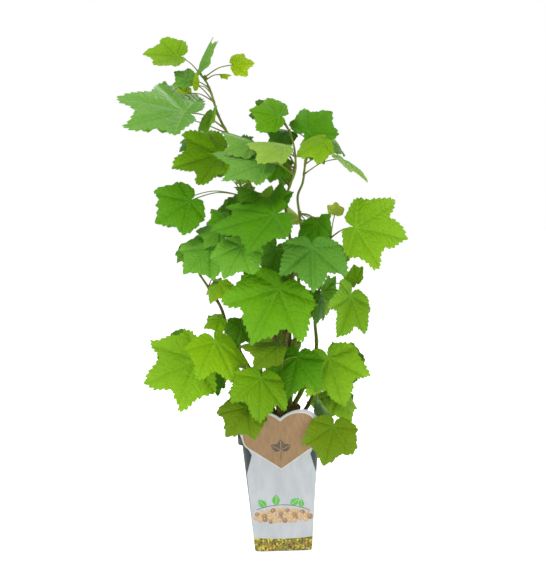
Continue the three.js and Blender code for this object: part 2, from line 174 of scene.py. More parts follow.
def tint(red, green, blue):  # a colour as seen on a screen, 0 to 255, made linear
    linear = []
    for shown in (red, green, blue):
        linear.append(shown / 255 / 12.92 if shown <= 10 else ((shown / 255 + 0.055) / 1.055) ** 2.4)
    return (*linear, 1.0)


def shaded(colour, factors, added=(0, 0, 0)):
    return (*(min(part * factor + more, 1) for part, factor, more in zip(colour, factors, added)), 1)


# Small helpers for meshes

def cleanSelection():
    if bpy.context.object and bpy.context.object.mode != "OBJECT":
        bpy.ops.object.mode_set(mode="OBJECT")
    bpy.ops.object.select_all(action="DESELECT")


def pick(piece):
    cleanSelection()
    piece.select_set(True)
    bpy.context.view_layer.objects.active = piece


def meshPiece(name, vertices, faces, materials, faceMaterials=None):
    mesh = bpy.data.meshes.new(name)
    mesh.from_pydata((np.asarray(vertices) * millimetre).tolist(), [], faces)
    for material in materials:
        mesh.materials.append(material)
    if faceMaterials is not None:
        mesh.polygons.foreach_set("material_index", faceMaterials)
    piece = bpy.data.objects.new(name, mesh)
    bpy.context.scene.collection.objects.link(piece)
    return piece


def smoothPiece(piece, degrees):
    pick(piece)
    bpy.ops.object.shade_smooth_by_angle(angle=math.radians(degrees))


def seat(piece, slotName, *nodes):  # parents a piece to the root body and hides the imported parts that it stands in for
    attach(piece, "root")
    if nodes:
        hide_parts(*nodes)
    return piece


def seeded(seed):  # numbers from 0 to 1, the same on every run
    state = seed

    def draw():
        nonlocal state
        state = (state * 16807) % 2147483647
        return state / 2147483647
    return draw


def unit(vector):
    return vector / np.linalg.norm(vector)


def unitRows(vectors):
    return vectors / np.linalg.norm(vectors, axis=1)[:, None]


def quarterTurned(onward):  # flat directions, each turned a quarter to the right
    return np.stack([onward[:, 1], -onward[:, 0]], axis=1)


def lerp(a, b, share):
    return a + (b - a) * share


def pathThrough(points, count):
    # a smooth line through the points, count points evenly along it
    given = np.array(points, float)
    ends = [2 * given[0] - given[1], *given, 2 * given[-1] - given[-2]]
    dense = []
    for p0, p1, p2, p3 in zip(ends, ends[1:], ends[2:], ends[3:]):
        d0, d1, d2 = (max(math.sqrt(np.linalg.norm(b - a)), 0.01) for a, b in ((p0, p1), (p1, p2), (p2, p3)))
        leave = ((p1 - p0) / d0 - (p2 - p0) / (d0 + d1) + (p2 - p1) / d1) * d1
        reach = ((p2 - p1) / d1 - (p3 - p1) / (d1 + d2) + (p3 - p2) / d2) * d1
        for t in np.linspace(0, 1, 24, endpoint=False):
            dense.append(p1 + leave * t + (3 * (p2 - p1) - 2 * leave - reach) * t ** 2
                         + (2 * (p1 - p2) + leave + reach) * t ** 3)
    dense = np.array([*dense, given[-1]])
    along = np.concatenate([[0], np.cumsum(np.linalg.norm(np.diff(dense, axis=0), axis=1))])
    wanted = np.linspace(0, along[-1], count)
    return np.stack([np.interp(wanted, along, dense[:, axis]) for axis in range(3)], axis=1)


def ringsAlong(path, radii, sides, ridge=None):
    # rings round a path, carried along without twist; ridge(step, angle) scales the radius
    tangents = unitRows(np.gradient(path, axis=0))
    across = unit(np.cross(tangents[0], [0.31, 0.83, 0.46]))
    rings = []
    for step, (middle, tangent) in enumerate(zip(path, tangents)):
        across = unit(across - tangent * (across @ tangent))
        other = np.cross(tangent, across)
        for side in range(sides):
            angle = 2 * math.pi * side / sides
            reach = radii[step] * (ridge(step, angle) if ridge else 1)
            rings.append(middle + reach * (math.cos(angle) * across + math.sin(angle) * other))
    return rings


def tubeFaces(first, steps, sides):
    faces = []
    for step in range(steps - 1):
        for side in range(sides):
            a = first + step * sides + side
            b = first + step * sides + (side + 1) % sides
            faces.append((a, b, b + sides, a + sides))
    faces.append(tuple(first + side for side in reversed(range(sides))))
    faces.append(tuple(first + (steps - 1) * sides + side for side in range(sides)))
    return faces


print("scene: helpers ready")


# The plant's own rule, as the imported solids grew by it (millimetres)

stems = {
    "leader": [[2, 0, 180], [5, 6, 240], [8, 9, 296], [-7, 12, 406], [-24, 10, 475], [-44, 4, 529],
               [-58, 3, 562]],
    "upper": [[8, -14, 182], [13, -6, 240], [17, -4, 296], [23, 0, 392], [17, -3, 452], [15, -5, 473]],
    "upright": [[12, -10, 184], [20, -12, 240], [25, -11, 296], [34, 2, 396], [37, 3, 426], [35, 2, 451]],
    "upper_left": [[0, -2, 178], [-6, 14, 240], [-14, 22, 296], [-26, 26, 400], [-34, 20, 455],
                   [-37, 15, 477]],
    "left": [[-2, -8, 176], [-26, -10, 222], [-50, -14, 268], [-65, -14, 296], [-75, -12, 331],
             [-90, -10, 357]],
    "centre": [[4, -14, 184], [-3, -20, 240], [-4, -26, 296], [-11, -30, 380], [-9, -31, 428]],
    "front": [[10, -18, 178], [9, -26, 240], [13, -36, 300], [20, -40, 347]],
    "right": [[10, -6, 178], [38, 2, 225], [53, 5, 270], [52, 1, 309], [56, -4, 343]],
    "lower_left": [[-2, -14, 170], [-26, -26, 212], [-44, -34, 249]],
    "lower_front": [[4, -18, 168], [3, -32, 202], [4, -41, 232]],
    "lower_right": [[12, -14, 168], [36, -24, 192], [51, -30, 224]],
}

# How a blade lies: degrees that it is turned about its rib, and how far its halves fold up or down there
lies = {"open": 8, "tilted": 30, "steep": 50, "edge": 68, "away": -45, "turned": -65}
folds = {"open": 7, "tilted": -7, "steep": -15, "edge": -22, "away": 13, "turned": 13, "behind": 13}

# A leaf in view: where its stalk ends (x, y, z), where its tip shows (x, z), its lie and its tone, and then
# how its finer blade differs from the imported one: turn, fold and swing in degrees, size as a share,
# and back, aside and up in millimetres
masses = {
    "leader": {
        "twig": [[-71, 0, 590], [-81, 0, 624], [-87, 0, 637], [-94, 0, 646]],
        "behind": 2,
        "leaves": [
            [-115, -35, 594, -202, 621, "steep", "blue", {"turn": 59, "fold": 0}],
            [-128, 10, 676, -171, 682, "steep", "light", {"fold": 10, "aside": 5, "up": -2, "size": 1.1}],
            [-84, 0, 665, -74, 694, "steep", "blue",
             {"turn": 76, "fold": -8, "size": 1.62, "aside": -12, "up": -15}],
            [-47, -5, 653, -21, 656, "tilted", "young", {"up": 3.5}],
            [-64, -8, 644, -51, 644, "edge", "young"],
            [-109, 5, 638, -129, 651, "tilted", "blue"],
            [-96, -12, 630, -100, 648, "turned", "young"],
            [-113, -14, 621, -115, 634, "tilted", "young"],
            [-79, -2, 597, -90, 557, "turned", "warm", {"size": 0.75, "up": -5}],
        ],
    },
    "upper_left": {
        "twig": [[-46, 14, 500], [-50, 24, 528], [-62, 36, 548]],
        "behind": 2,
        "leaves": [
            [-72, 40, 534, -134, 520, "tilted", "bright", {"turn": 42, "fold": 8, "up": 5, "size": 1.06}],
            [-99, 56, 564, -130, 542, "edge", "blue", {"turn": 45, "aside": -3, "back": 14, "size": 0.85}],
            [-112, -12, 474, -159, 449, "tilted", "rich", {"turn": 24, "fold": 2, "up": 3}],
        ],
    },
    "upper": {
        "twig": [[23, -9, 495], [30, -14, 514], [30, -18, 540], [24, -14, 568]],
        "behind": 4,
        "leaves": [
            [-9, -45, 515, -77, 534, "edge", "blue", {"up": 10, "fold": -16}],
            [-23, -22, 547, -65, 566, "edge", "blue", {"up": 4}],
            [17, -55, 534, -32, 543, "edge", "misty", {"up": 13}],
            [10, -20, 586, -33, 598, "tilted", "fresh", {"turn": 38, "fold": -8, "size": 0.92, "aside": 1}],
            [17, 0, 521, 4, 492, "tilted", "rich", {"aside": -9, "up": 6, "size": 0.95}],
        ],
    },
    "upright": {
        "twig": [[33, 2, 479], [40, 2, 496], [43, 4, 514], [46, 6, 535], [52, 4, 556]],
        "behind": 3,
        "leaves": [
            [47, -8, 565, 74, 597, "tilted", "rich", {"swing": -10, "size": 1.08}],
            [67, -22, 555, 32, 539, "steep", "light", {"back": -8, "up": -3}],
            [67, -12, 549, 68, 521, "away", "rich"],
            [92, -10, 527, 128, 499, "edge", "light", {"turn": 81, "fold": 0}],
            [93, -5, 539, 80, 564, "edge", "blue"],
            [27, 18, 555, -14, 564, "edge", "deep", {"up": 11}],
            [59, -12, 442, 55, 404, "away", "rich"],
        ],
    },
    "centre": {
        "twig": [[-6, -32, 448], [0, -34, 466]],
        "behind": 3,
        "leaves": [
            [1, -75, 458, -73, 442, "steep", "rich", {"size": 1.12, "turn": 60, "fold": -4}],
            [-43, -75, 418, -68, 380, "tilted", "dull"],
            [-2, -25, 467, 8, 498, "steep", "rich"],
            [-62, -40, 448, -82, 467, "steep", "rich"],
            [-23, -18, 486, -51, 497, "edge", "deep"],
            [-72, -18, 434, -105, 437, "steep", "dull"],
        ],
    },
    "left": {
        "twig": [[-104, -9, 380], [-110, -12, 400]],
        "behind": 3,
        "leaves": [
            [-85, -25, 413, -122, 382, "tilted", "dull"],
            [-116, -20, 416, -132, 396, "steep", "rich"],
            [-73, -45, 368, -89, 344, "steep", "light"],
        ],
    },
    "front": {
        "twig": [[24, -41, 380], [30, -44, 406]],
        "behind": 3,
        "leaves": [
            [4, -72, 361, -33, 296, "open", "fresh"],
            [48, -76, 414, 48, 360, "open", "cool"],
            [1, -60, 412, -14, 367, "away", "deep"],
        ],
    },
    "right": {
        "twig": [[70, -10, 389], [76, -12, 425]],
        "behind": 3,
        "leaves": [
            [109, -30, 439, 177, 425, "tilted", "light", {"turn": 26, "fold": 2, "up": -3}],
            [93, -45, 346, 85, 293, "away", "warm", {"aside": 6, "swing": -9}],
            [83, 2, 454, 85, 469, "open", "pale"],
            [36, 18, 447, 18, 468, "edge", "pale"],
            [94, 5, 402, 96, 381, "edge", "fresh"],
            [108, -20, 362, 104, 385, "away", "light"],
            [65, -15, 349, 83, 368, "away", "fresh"],
            [59, -10, 340, 54, 307, "steep", "deep"],
        ],
    },
    "lower_left": {
        "twig": [[-58, -38, 282], [-66, -34, 312]],
        "behind": 4,
        "leaves": [
            [-106, -55, 268, -177, 243, "tilted", "light"],
            [-81, -82, 295, -52, 244, "steep", "bright"],
            [-86, -40, 249, -80, 219, "steep", "rich"],
            [-75, -30, 318, -98, 308, "steep", "bright"],
            [-48, -35, 310, -54, 283, "tilted", "deep"],
        ],
    },
    "lower_front": {
        "twig": [[6, -46, 262], [10, -44, 280]],
        "behind": 3,
        "leaves": [
            [25, -72, 270, 6, 214, "tilted", "rich", {"back": 24, "size": 0.88}],
            [-23, -58, 241, -23, 188, "tilted", "warm", {"back": -24}],
            [-38, -92, 203, -70, 168, "tilted", "olive", {"up": 6, "size": 0.94, "aside": -3}],
            [0, -50, 279, -49, 283, "edge", "olive", {"up": 4}],
        ],
    },
    "lower_right": {
        "twig": [[58, -32, 248], [62, -34, 266]],
        "behind": 3,
        "leaves": [
            [67, -42, 264, 115, 221, "steep", "light", {"swing": -28, "turn": 25, "fold": 5}],
            [85, -86, 171, 51, 135, "steep", "olive",
             {"aside": -15, "up": 9, "swing": 24, "turn": 30, "fold": 0}],
            [78, -28, 213, 99, 179, "steep", "light"],
            [56, -14, 221, 29, 210, "edge", "deep", {"up": 12, "aside": -5}],
            [55, -40, 197, 71, 169, "turned", "silver"],
        ],
    },
}

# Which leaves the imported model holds: the rule's choices are made again and looked up in its solids

eye = np.array([0.0, -1800.0, 520.0])  # the leaves in view are laid out as seen from here
viewer = np.array([0.0, -1.0, 0.0])
packedBlade = {"fold": 8, "arch": 0.08, "thickness": 1.25, "largeFrom": 55}
matching = {"within": 0.0002, "share": 0.4, "depthStep": 4, "depthTries": 19}  # metres, and millimetres back
packedLarge = [(0, 1.02), (12, 0.92), (27, 0.78), (34, 0.8), (47, 0.94), (58, 0.88), (75, 0.67), (93, 0.66),
               (112, 0.5), (140, 0.33), (180, 0.23)]
packedSmall = [(0, 1.02), (25, 0.78), (48, 0.93), (75, 0.67), (98, 0.63), (140, 0.33), (180, 0.23)]


def leafInView(row):
    x, y, z, tipX, tipZ, lie, tone, *finer = row
    hub = np.array([x, y, z], float)
    tip = np.array([tipX, y - 0.5 * (z - tipZ), tipZ])  # it hangs a little towards the viewer
    finer = {"fold": folds[lie], **(finer[0] if finer else {})}
    return {"hub": hub, "tip": tip, "turn": lies[lie], "facing": viewer, "tone": tone, "finer": finer}


farSide = {
    "size": (0.62, 0.84), "place": (0.2, 0.6), "depth": (20, 84), "lean": 0.35,
    "sideways": 0.6, "upward": 0.5, "turn": (-15, 15), "tries": 400,
    "tones": ("rich", "deep", "light", "deep", "rich", "bright"),
}


def leafBehind(front, twig, draw):
    size = leafLength(front) * lerp(*farSide["size"], draw())
    heading = 2 * math.pi * draw()
    middle = lerp(front["hub"], front["tip"], lerp(*farSide["place"], draw()))
    depth = max(twig[len(twig) // 2][1], 0) + lerp(*farSide["depth"], draw())
    rib = unit(np.array([math.cos(heading), farSide["lean"], math.sin(heading)]))
    hub = np.array([middle[0], depth, middle[2]]) - 0.4 * size * rib
    facing = unit(np.array([lerp(-farSide["sideways"], farSide["sideways"], draw()), 1, farSide["upward"]]))
    return {"hub": hub, "tip": hub + rib * size, "facing": facing, "turn": lerp(*farSide["turn"], draw()),
            "finer": {"fold": folds["behind"]}}


def movedBack(leaf, distance):  # along the line of sight, so that it looks alike from there
    share = (leaf["hub"][1] + distance - eye[1]) / (leaf["hub"][1] - eye[1])
    moved = dict(leaf)
    for end in ("hub", "tip"):
        x, y, z = leaf[end]
        moved[end] = np.array([lerp(eye[0], x, share), y + distance, lerp(eye[2], z, share)])
    return moved


def leafFrame(leaf):
    rib = unit(leaf["tip"] - leaf["hub"])
    face = unit(leaf["facing"] - rib * (leaf["facing"] @ rib))
    side = np.cross(rib, face)
    if (side[0] if abs(side[2]) < 0.3 else side[2]) < 0:
        side = -side
    turn = math.radians(leaf["turn"])
    normal = face * math.cos(turn) + side * math.sin(turn)
    return rib, np.cross(normal, rib), normal


def leafLength(leaf):
    return np.linalg.norm(leaf["tip"] - leaf["hub"])


def isLarge(leaf):
    return leafLength(leaf) > packedBlade["largeFrom"] and leaf["facing"] is viewer


def packedEdge(leaf, lift):
    half = packedLarge if isLarge(leaf) else packedSmall
    rib, side, normal = leafFrame(leaf)
    length = leafLength(leaf)
    rise = math.tan(math.radians(packedBlade["fold"]))
    edge = []
    for angle, reach in half + [(-angle, reach) for angle, reach in half[1:-1]]:
        along, across = reach * math.cos(math.radians(angle)), reach * math.sin(math.radians(angle))
        height = (rise * abs(across) - packedBlade["arch"] * reach ** 2) * length + lift
        edge.append(leaf["hub"] + rib * along * length + side * across * length + normal * height)
    return edge


def treeOf(node):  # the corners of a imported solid, for looking up
    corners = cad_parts[node].data.vertices
    tree = KDTree(len(corners))
    for index, corner in enumerate(corners):
        tree.insert(corner.co, index)
    tree.balance()
    return tree


def hasGrown(leaf, tree):
    lift = packedBlade["thickness"] / 2
    edge = packedEdge(leaf, lift) + packedEdge(leaf, -lift)
    found = sum(tree.find(Vector(point * millimetre))[2] < matching["within"] for point in edge)
    return found > matching["share"] * len(edge)


def shownAt(points):  # where points show on the upright plane through the pot's middle
    share = -eye[1] / (points[:, 1] - eye[1])
    return np.stack([lerp(eye[0], points[:, 0], share), lerp(eye[2], points[:, 2], share)], axis=1)


def isInside(points, outline):  # whether a line to one side crosses the outline an odd number of times
    (ax, az), (bx, bz) = outline.T, np.roll(outline, 1, axis=0).T
    x, z = points[:, :1], points[:, 1:]
    crosses = (az > z) != (bz > z)
    rise = np.where(bz == az, 1e-9, bz - az)
    return (crosses & (x < ax + (bx - ax) * (z - az) / rise)).sum(axis=1) % 2 == 1


shoot = {
    "radius": (1.8, 1.2), "sides": 12, "stepsEach": 12, "swell": 0.28, "swellReach": 2.2,
    "stalkRadii": (1.8, 1.15, 0.85, 1.0, 0.45), "stalkShares": (0, 0.12, 0.5, 0.85, 1), "smallStalk": 0.8,
    "stalkSides": 8, "stalkSteps": 14, "stalkSlope": 0.35, "stalkBow": 0.1, "rootChoices": 24,
    "under": (0.7, 0.5), "alongRib": 4,  # how far a stalk's end lies under the blade, and runs on there
    "budLength": 4.5, "budSides": 8, "budShares": (0, 0.15, 0.4, 0.65, 0.85, 1),
    "budRadii": (0.16, 0.27, 0.3, 0.23, 0.12, 0.02), "budSizes": (0.7, 1.1),
    "budUpward": 0.9, "budAbove": 0.8,
}


def stalkRoot(leaf, twig):  # the point of the twig whose drop suits the way across
    line = pathThrough(twig, shoot["rootChoices"] + 1)[1:-1]
    away = leaf["hub"] - line
    across = np.hypot(away[:, 0], away[:, 1])
    return line[np.argmin(np.abs(away[:, 2] - shoot["stalkSlope"] * across) + 0.4 * across)]


def leavesOf(name, index):
    # those in view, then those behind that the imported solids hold
    mass = masses[name]
    twig = [stems[name][-1], *mass["twig"]]
    tree = treeOf("leaves_" + name)
    rows = [leafInView(row) for row in mass["leaves"]]
    grown = []
    for leaf in rows:
        for choice in range(matching["depthTries"]):
            steps = math.ceil(choice / 2) * (-1 if choice % 2 else 1)
            moved = movedBack(leaf, matching["depthStep"] * steps)
            if hasGrown(moved, tree):
                grown.append(moved)
                break
    inView = len(grown)
    draw = seeded(7919 * (index + 1))
    tries = 0
    while len(grown) < inView + mass["behind"] and tries < farSide["tries"]:
        front = rows[int(draw() * len(rows))]
        leaf = leafBehind(front, twig, draw)
        leaf["tone"] = farSide["tones"][tries % len(farSide["tones"])]
        tries += 1
        if hasGrown(leaf, tree):
            grown.append(leaf)
    behind = len(grown) - inView
    print("scene:", name, "has", inView, "of", len(rows), "leaves in view and", behind, "behind")
    return grown, rows, twig, draw


grownLeaves = {name: leavesOf(name, index) for index, name in enumerate(masses)}
shownOutlines = []
for grown, rows, twig, draw in grownLeaves.values():
    shownOutlines += [shownAt(np.array(packedEdge(leaf, 0))) for leaf in rows]


# Small leaves that fill the far side, where those in view hide them

extraLeaves = {
    "tries": 500, "count": 8, "size": (0.65, 1.0), "apart": 14, "hidden": 0.85, "margin": 3,
    "sideways": 1.6, "backward": 0.7, "upward": 0.5, "stalkHidden": 0.9, "stalkPoints": 6,
}


def coveredShare(points):  # the share of points that lie behind a leaf in view
    shown = shownAt(points)
    covered = np.zeros(len(points), bool)
    for outline in shownOutlines:
        covered |= isInside(shown, outline)
    return covered.mean()


def addExtras(name):
    grown, rows, twig, draw = grownLeaves[name]
    low, high = (np.array(corner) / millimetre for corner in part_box("leaves_" + name))
    everyLeaf = [leaf for others in grownLeaves.values() for leaf in others[0]]
    middles = [lerp(leaf["hub"], leaf["tip"], 0.4) for leaf in everyLeaf]
    margin, tones = extraLeaves["margin"], farSide["tones"]
    added = 0
    for attempt in range(extraLeaves["tries"]):
        front = rows[int(draw() * len(rows))]
        leaf = leafBehind(front, twig, draw)
        leaf["tip"] = lerp(leaf["hub"], leaf["tip"], lerp(*extraLeaves["size"], draw()))
        aside = extraLeaves["sideways"] * lerp(-1, 1, draw())
        leaf["facing"] = unit(np.array([aside, extraLeaves["backward"], extraLeaves["upward"]]))
        leaf["tone"] = tones[attempt % len(tones)]
        edge = np.array(packedEdge(leaf, 0))
        within = (edge > low - margin).all() and (edge < high + margin).all()
        middle = lerp(leaf["hub"], leaf["tip"], 0.4)
        roomy = all(np.linalg.norm(middle - other) > extraLeaves["apart"] for other in middles)
        if not (within and roomy) or coveredShare(edge) < extraLeaves["hidden"]:
            continue
        stalk = np.linspace(stalkRoot(leaf, twig), leaf["hub"], extraLeaves["stalkPoints"])
        if coveredShare(stalk) > extraLeaves["stalkHidden"]:
            grown.append(leaf)
            middles.append(middle)
            added += 1
            if added == extraLeaves["count"]:
                break


for name in masses:
    addExtras(name)
print("scene:", sum(len(others[0]) for others in grownLeaves.values()), "leaves laid out")


# Leaf blades: lobed, toothed and pleated between their veins

blade = {
    "thickness": 0.5,  # millimetres; all else in shares of the blade's length
    "toothDepth": 0.038,
    "teeth": {"large": 24, "small": 12},  # on each half of the edge
    "rings": {
        "large": (0.1, 0.24, 0.4, 0.56, 0.71, 0.84, 0.94, 1),
        "small": (0.14, 0.34, 0.55, 0.76, 0.92, 1),
    },
    "veins": (0, 47, 95),  # degrees from the middle rib
    "arch": 0.08,
    "pleat": 0.03,
    "pleatReach": 0.08,
    "wave": 0.024,
    "foldRound": 0.04,  # the fold is rounded this far from the rib
    "uneven": {"angle": (-3, 3), "reach": (-0.05, 0.03), "tooth": (0.7, 1.25)},
    "towardsBase": ((27, 47), (75, 95)),  # degrees where the teeth point on to the next lobe's tip
    "toothLean": 0.35,
    "depthChoices": (0, 3, -3, 6, -6, 9, -9, 13, -13, 18, 24),  # millimetres back
    "clearance": 0.3,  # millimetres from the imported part's reach
}
halfOutlines = {
    "large": [(0, 1.01), (10, 0.91), (21, 0.79), (29, 0.71), (36, 0.75), (43, 0.86), (49, 0.96), (56, 0.9),
              (66, 0.75), (78, 0.65), (88, 0.65), (97, 0.62), (108, 0.5), (125, 0.37), (147, 0.27),
              (166, 0.14), (180, 0.03)],
    "small": [(0, 1.01), (12, 0.9), (27, 0.76), (38, 0.8), (49, 0.92), (60, 0.84), (78, 0.67), (96, 0.62),
              (118, 0.42), (145, 0.3), (166, 0.16), (180, 0.03)],
}
toothProfile = (0, 1, 0.78, 0.4)  # valley, point, and its long side
bake = {"back": 0.42, "front": 1.1, "side": 1.0, "margin": 0.04}  # a blade's square holds it up to here


def halfEdge(kind, draw):
    # one half of the outline from tip to base: without teeth, and with teeth that point to the lobes' tips
    uneven = blade["uneven"]
    controls = []
    for angle, reach in halfOutlines[kind]:
        free = 0 < angle < 160
        heading = math.radians(angle + free * lerp(*uneven["angle"], draw()))
        longer = reach * (1 + free * lerp(*uneven["reach"], draw()))
        controls.append((longer * math.cos(heading), longer * math.sin(heading), 0))
    teeth = blade["teeth"][kind]
    plain = pathThrough(controls, 4 * teeth + 1)[:, :2]
    angles = np.degrees(np.arctan2(plain[:, 1], plain[:, 0]))
    onward = unitRows(np.gradient(plain, axis=0))
    outward = quarterTurned(onward)
    toothed = plain.copy()
    for step in range(4 * teeth):
        part = step % 4
        if part == 0:
            size = lerp(*uneven["tooth"], draw())
        towardsBase = any(low < angles[step] < high for low, high in blade["towardsBase"])
        rise = toothProfile[-part if towardsBase and part else part]
        if step == 0:
            rise = 0.9
        depth = blade["toothDepth"] * size * min(np.linalg.norm(plain[step]) / 0.6, 1)
        lean = blade["toothLean"] * rise * depth * (1 if towardsBase else -1)
        toothed[step] += outward[step] * depth * (rise - 0.5) + onward[step] * lean * (step > 0)
    return plain, toothed


def bladeOutline(kind, draw):
    plainLeft, toothedLeft = halfEdge(kind, draw)
    plainRight, toothedRight = halfEdge(kind, draw)
    mirror = np.array([1, -1])
    plain = np.concatenate([plainLeft, plainRight[-2:0:-1] * mirror])
    toothed = np.concatenate([toothedLeft, toothedRight[-2:0:-1] * mirror])
    return plain, toothed


def bladeHeights(places, habit, foldAngle):
    along, across = places[:, 0], places[:, 1]
    reach = np.hypot(along, across)
    angle = np.degrees(np.arctan2(across, along))
    off = np.min([np.abs(np.abs(angle) - vein) for vein in blade["veins"]], axis=0)
    fromVein = reach * np.sin(np.radians(np.minimum(off, 90)))
    rounding = blade["foldRound"]
    fold = math.tan(math.radians(foldAngle)) * (np.sqrt(across ** 2 + rounding ** 2) - rounding)
    raised = 1 - np.exp(-(fromVein / blade["pleatReach"]) ** 2)
    pleat = blade["pleat"] * raised * np.minimum(reach / 0.3, 1)
    ripple = np.sin(np.radians(angle) * habit["ripples"] + habit["phase"])
    wave = blade["wave"] * habit["wave"] * reach ** 2 * ripple
    twist = habit["twist"] * along * across
    return fold + pleat + wave + twist - (blade["arch"] + habit["curl"]) * reach ** 2


def bladeFaces(count, rings):
    # corner numbers of one blade: upper rings, lower rings, the shared rim, then both middles
    inner = rings - 1
    around = np.arange(count)
    following = np.roll(around, -1)
    upper = [around + ring * count for ring in range(inner)] + [around + 2 * inner * count]
    lower = [around + (inner + ring) * count for ring in range(inner)] + [around + 2 * inner * count]
    top, bottom = (2 * inner + 1) * count, (2 * inner + 1) * count + 1
    triangles = np.concatenate([
        np.stack([np.full(count, top), upper[0], upper[0][following]], axis=1),
        np.stack([np.full(count, bottom), lower[0][following], lower[0]], axis=1),
    ])
    upperQuads = [np.stack([a, b, b[following], a[following]], axis=1) for a, b in zip(upper, upper[1:])]
    lowerQuads = [np.stack([a[following], b[following], b, a], axis=1) for a, b in zip(lower, lower[1:])]
    return triangles, np.concatenate(upperQuads + lowerQuads), len(upperQuads) * count


def bladeShape(kind, draw):  # a blade's outline and habit, a little different each time
    plain, toothed = bladeOutline(kind, draw)
    habit = {"ripples": 2 + int(draw() * 3), "phase": 6.3 * draw(), "wave": lerp(0.5, 1.3, draw()),
             "twist": lerp(-0.05, 0.05, draw()), "curl": lerp(-0.03, 0.06, draw())}
    return plain, toothed, habit


def bladeMesh(leaf, kind, shape):
    plain, toothed, habit = shape
    shares = blade["rings"][kind]
    inner = [plain * share for share in shares[:-2]] + [lerp(plain, toothed, 0.6) * shares[-2]]
    places = np.concatenate([*inner, *inner, toothed, np.zeros((2, 2))])
    count, innerCount = len(plain), len(plain) * len(inner)
    lifts = np.zeros(len(places))
    lifts[:innerCount] = blade["thickness"] / 2
    lifts[innerCount:2 * innerCount] = -blade["thickness"] / 2
    lifts[-2:] = blade["thickness"] / 2, -blade["thickness"] / 2
    rib, side, normal = leafFrame(leaf)
    length = leafLength(leaf)
    heights = bladeHeights(places, habit, leaf["finer"]["fold"]) * length + lifts
    points = leaf["hub"] + np.outer(places[:, 0] * length, rib) + np.outer(places[:, 1] * length, side)
    return points + np.outer(heights, normal), places, bladeFaces(count, len(shares))


def keptInside(corners):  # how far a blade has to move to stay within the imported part's reach
    low, high = (np.array(corner) / millimetre for corner in cadBox)
    under = np.maximum(low + blade["clearance"] - corners.min(axis=0), 0)
    over = np.maximum(corners.max(axis=0) - high + blade["clearance"], 0)
    return under - over


placedBlades = []  # each with its lowest and highest corner and its tree, to keep blades out of each other


def crossings(corners, faces):
    low, high = corners.min(axis=0), corners.max(axis=0)
    tree = BVHTree.FromPolygons(corners.tolist(), faces.tolist())
    crossed = 0
    for otherLow, otherHigh, other in placedBlades:
        if (low < otherHigh).all() and (otherLow < high).all():
            crossed += len(tree.overlap(other))
    return crossed, (low, high, tree)


def finerLeaf(leaf):
    finer = leaf["finer"]
    hub = leaf["hub"] + np.array([finer.get("aside", 0), 0, finer.get("up", 0)])
    x, y, z = (leaf["tip"] - leaf["hub"]) * finer.get("size", 1)
    swing = math.radians(finer.get("swing", 0))  # anticlockwise, as the viewer sees it
    rib = np.array([x * math.cos(swing) - z * math.sin(swing), y, x * math.sin(swing) + z * math.cos(swing)])
    leaf = {**leaf, "hub": hub, "tip": hub + rib, "turn": finer.get("turn", leaf["turn"])}
    return movedBack(leaf, finer.get("back", 0))


def grownBlade(leaf, seed):
    # the finer blade of a leaf, at the nearest depth where it passes through no other, if there is one
    kind = "large" if isLarge(leaf) else "small"
    shape = bladeShape(kind, seeded(seed))
    leaf = finerLeaf(leaf)
    best = None
    for distance in blade["depthChoices"]:
        moved = movedBack(leaf, distance)
        corners, spots, (triangles, quads, upperQuads) = bladeMesh(moved, kind, shape)
        inward = keptInside(corners)
        corners = corners + inward
        moved["hub"], moved["tip"] = moved["hub"] + inward, moved["tip"] + inward
        crossed, entry = crossings(corners, quads[:upperQuads])
        if best is None or crossed < best[0]:
            best = (crossed, entry, {**moved, "blade": (corners, spots, triangles, quads, upperQuads)})
        if crossed == 0:
            break
    placedBlades.append(best[1])
    return best[2], best[0]


def leafPiece(name, leaves):
    # every blade of one mass in one mesh, each face with its tone, its place on the blade and on the bake
    tonesHere = sorted({leaf["tone"] for leaf in leaves})
    columns = math.ceil(math.sqrt(2 * len(leaves)))
    points, places, faces, slots, uvs = [], [], [], [], []
    least = np.array([bake["back"], bake["side"]])
    span = np.array([bake["back"] + bake["front"], 2 * bake["side"]])
    margin = bake["margin"]
    start = 0
    for number, leaf in enumerate(leaves):
        corners, spots, triangles, quads, upperQuads = leaf["blade"]
        seed = (0.37 + 0.618 * number) % 1  # spread evenly from 0 to 1
        points.append(corners)
        places.append(np.column_stack([spots, np.full(len(spots), seed)]))
        tone = 2 * tonesHere.index(leaf["tone"])
        for group, uppers in ((triangles, len(triangles) // 2), (quads, upperQuads)):
            faces.extend((group + start).tolist())
            lower = (np.arange(len(group)) >= uppers).astype(int)
            slots.append(tone + lower)
            cell = 2 * number + lower
            corner = np.stack([cell % columns, cell // columns], axis=1)[:, None, :]
            spread = margin + (1 - 2 * margin) * (spots[group] + least) / span
            uvs.append(((corner + spread) / columns).reshape(-1, 2))
        start += len(corners)
    finishes = [leafFinishes[tone][part] for tone in tonesHere for part in ("upper", "lower")]
    piece = meshPiece(name, np.concatenate(points), faces, finishes, np.concatenate(slots))
    piece.data.attributes.new("leafPlace", "FLOAT_VECTOR", "POINT")
    piece.data.attributes["leafPlace"].data.foreach_set("vector", np.concatenate(places).ravel())
    piece.data.uv_layers.new(name="OFBake")
    piece.data.uv_layers["OFBake"].data.foreach_set("uv", np.concatenate(uvs).ravel())
    smoothPiece(piece, 50)
    return piece


# Leaf finishes, one pair for each tone: upper side and paler lower side

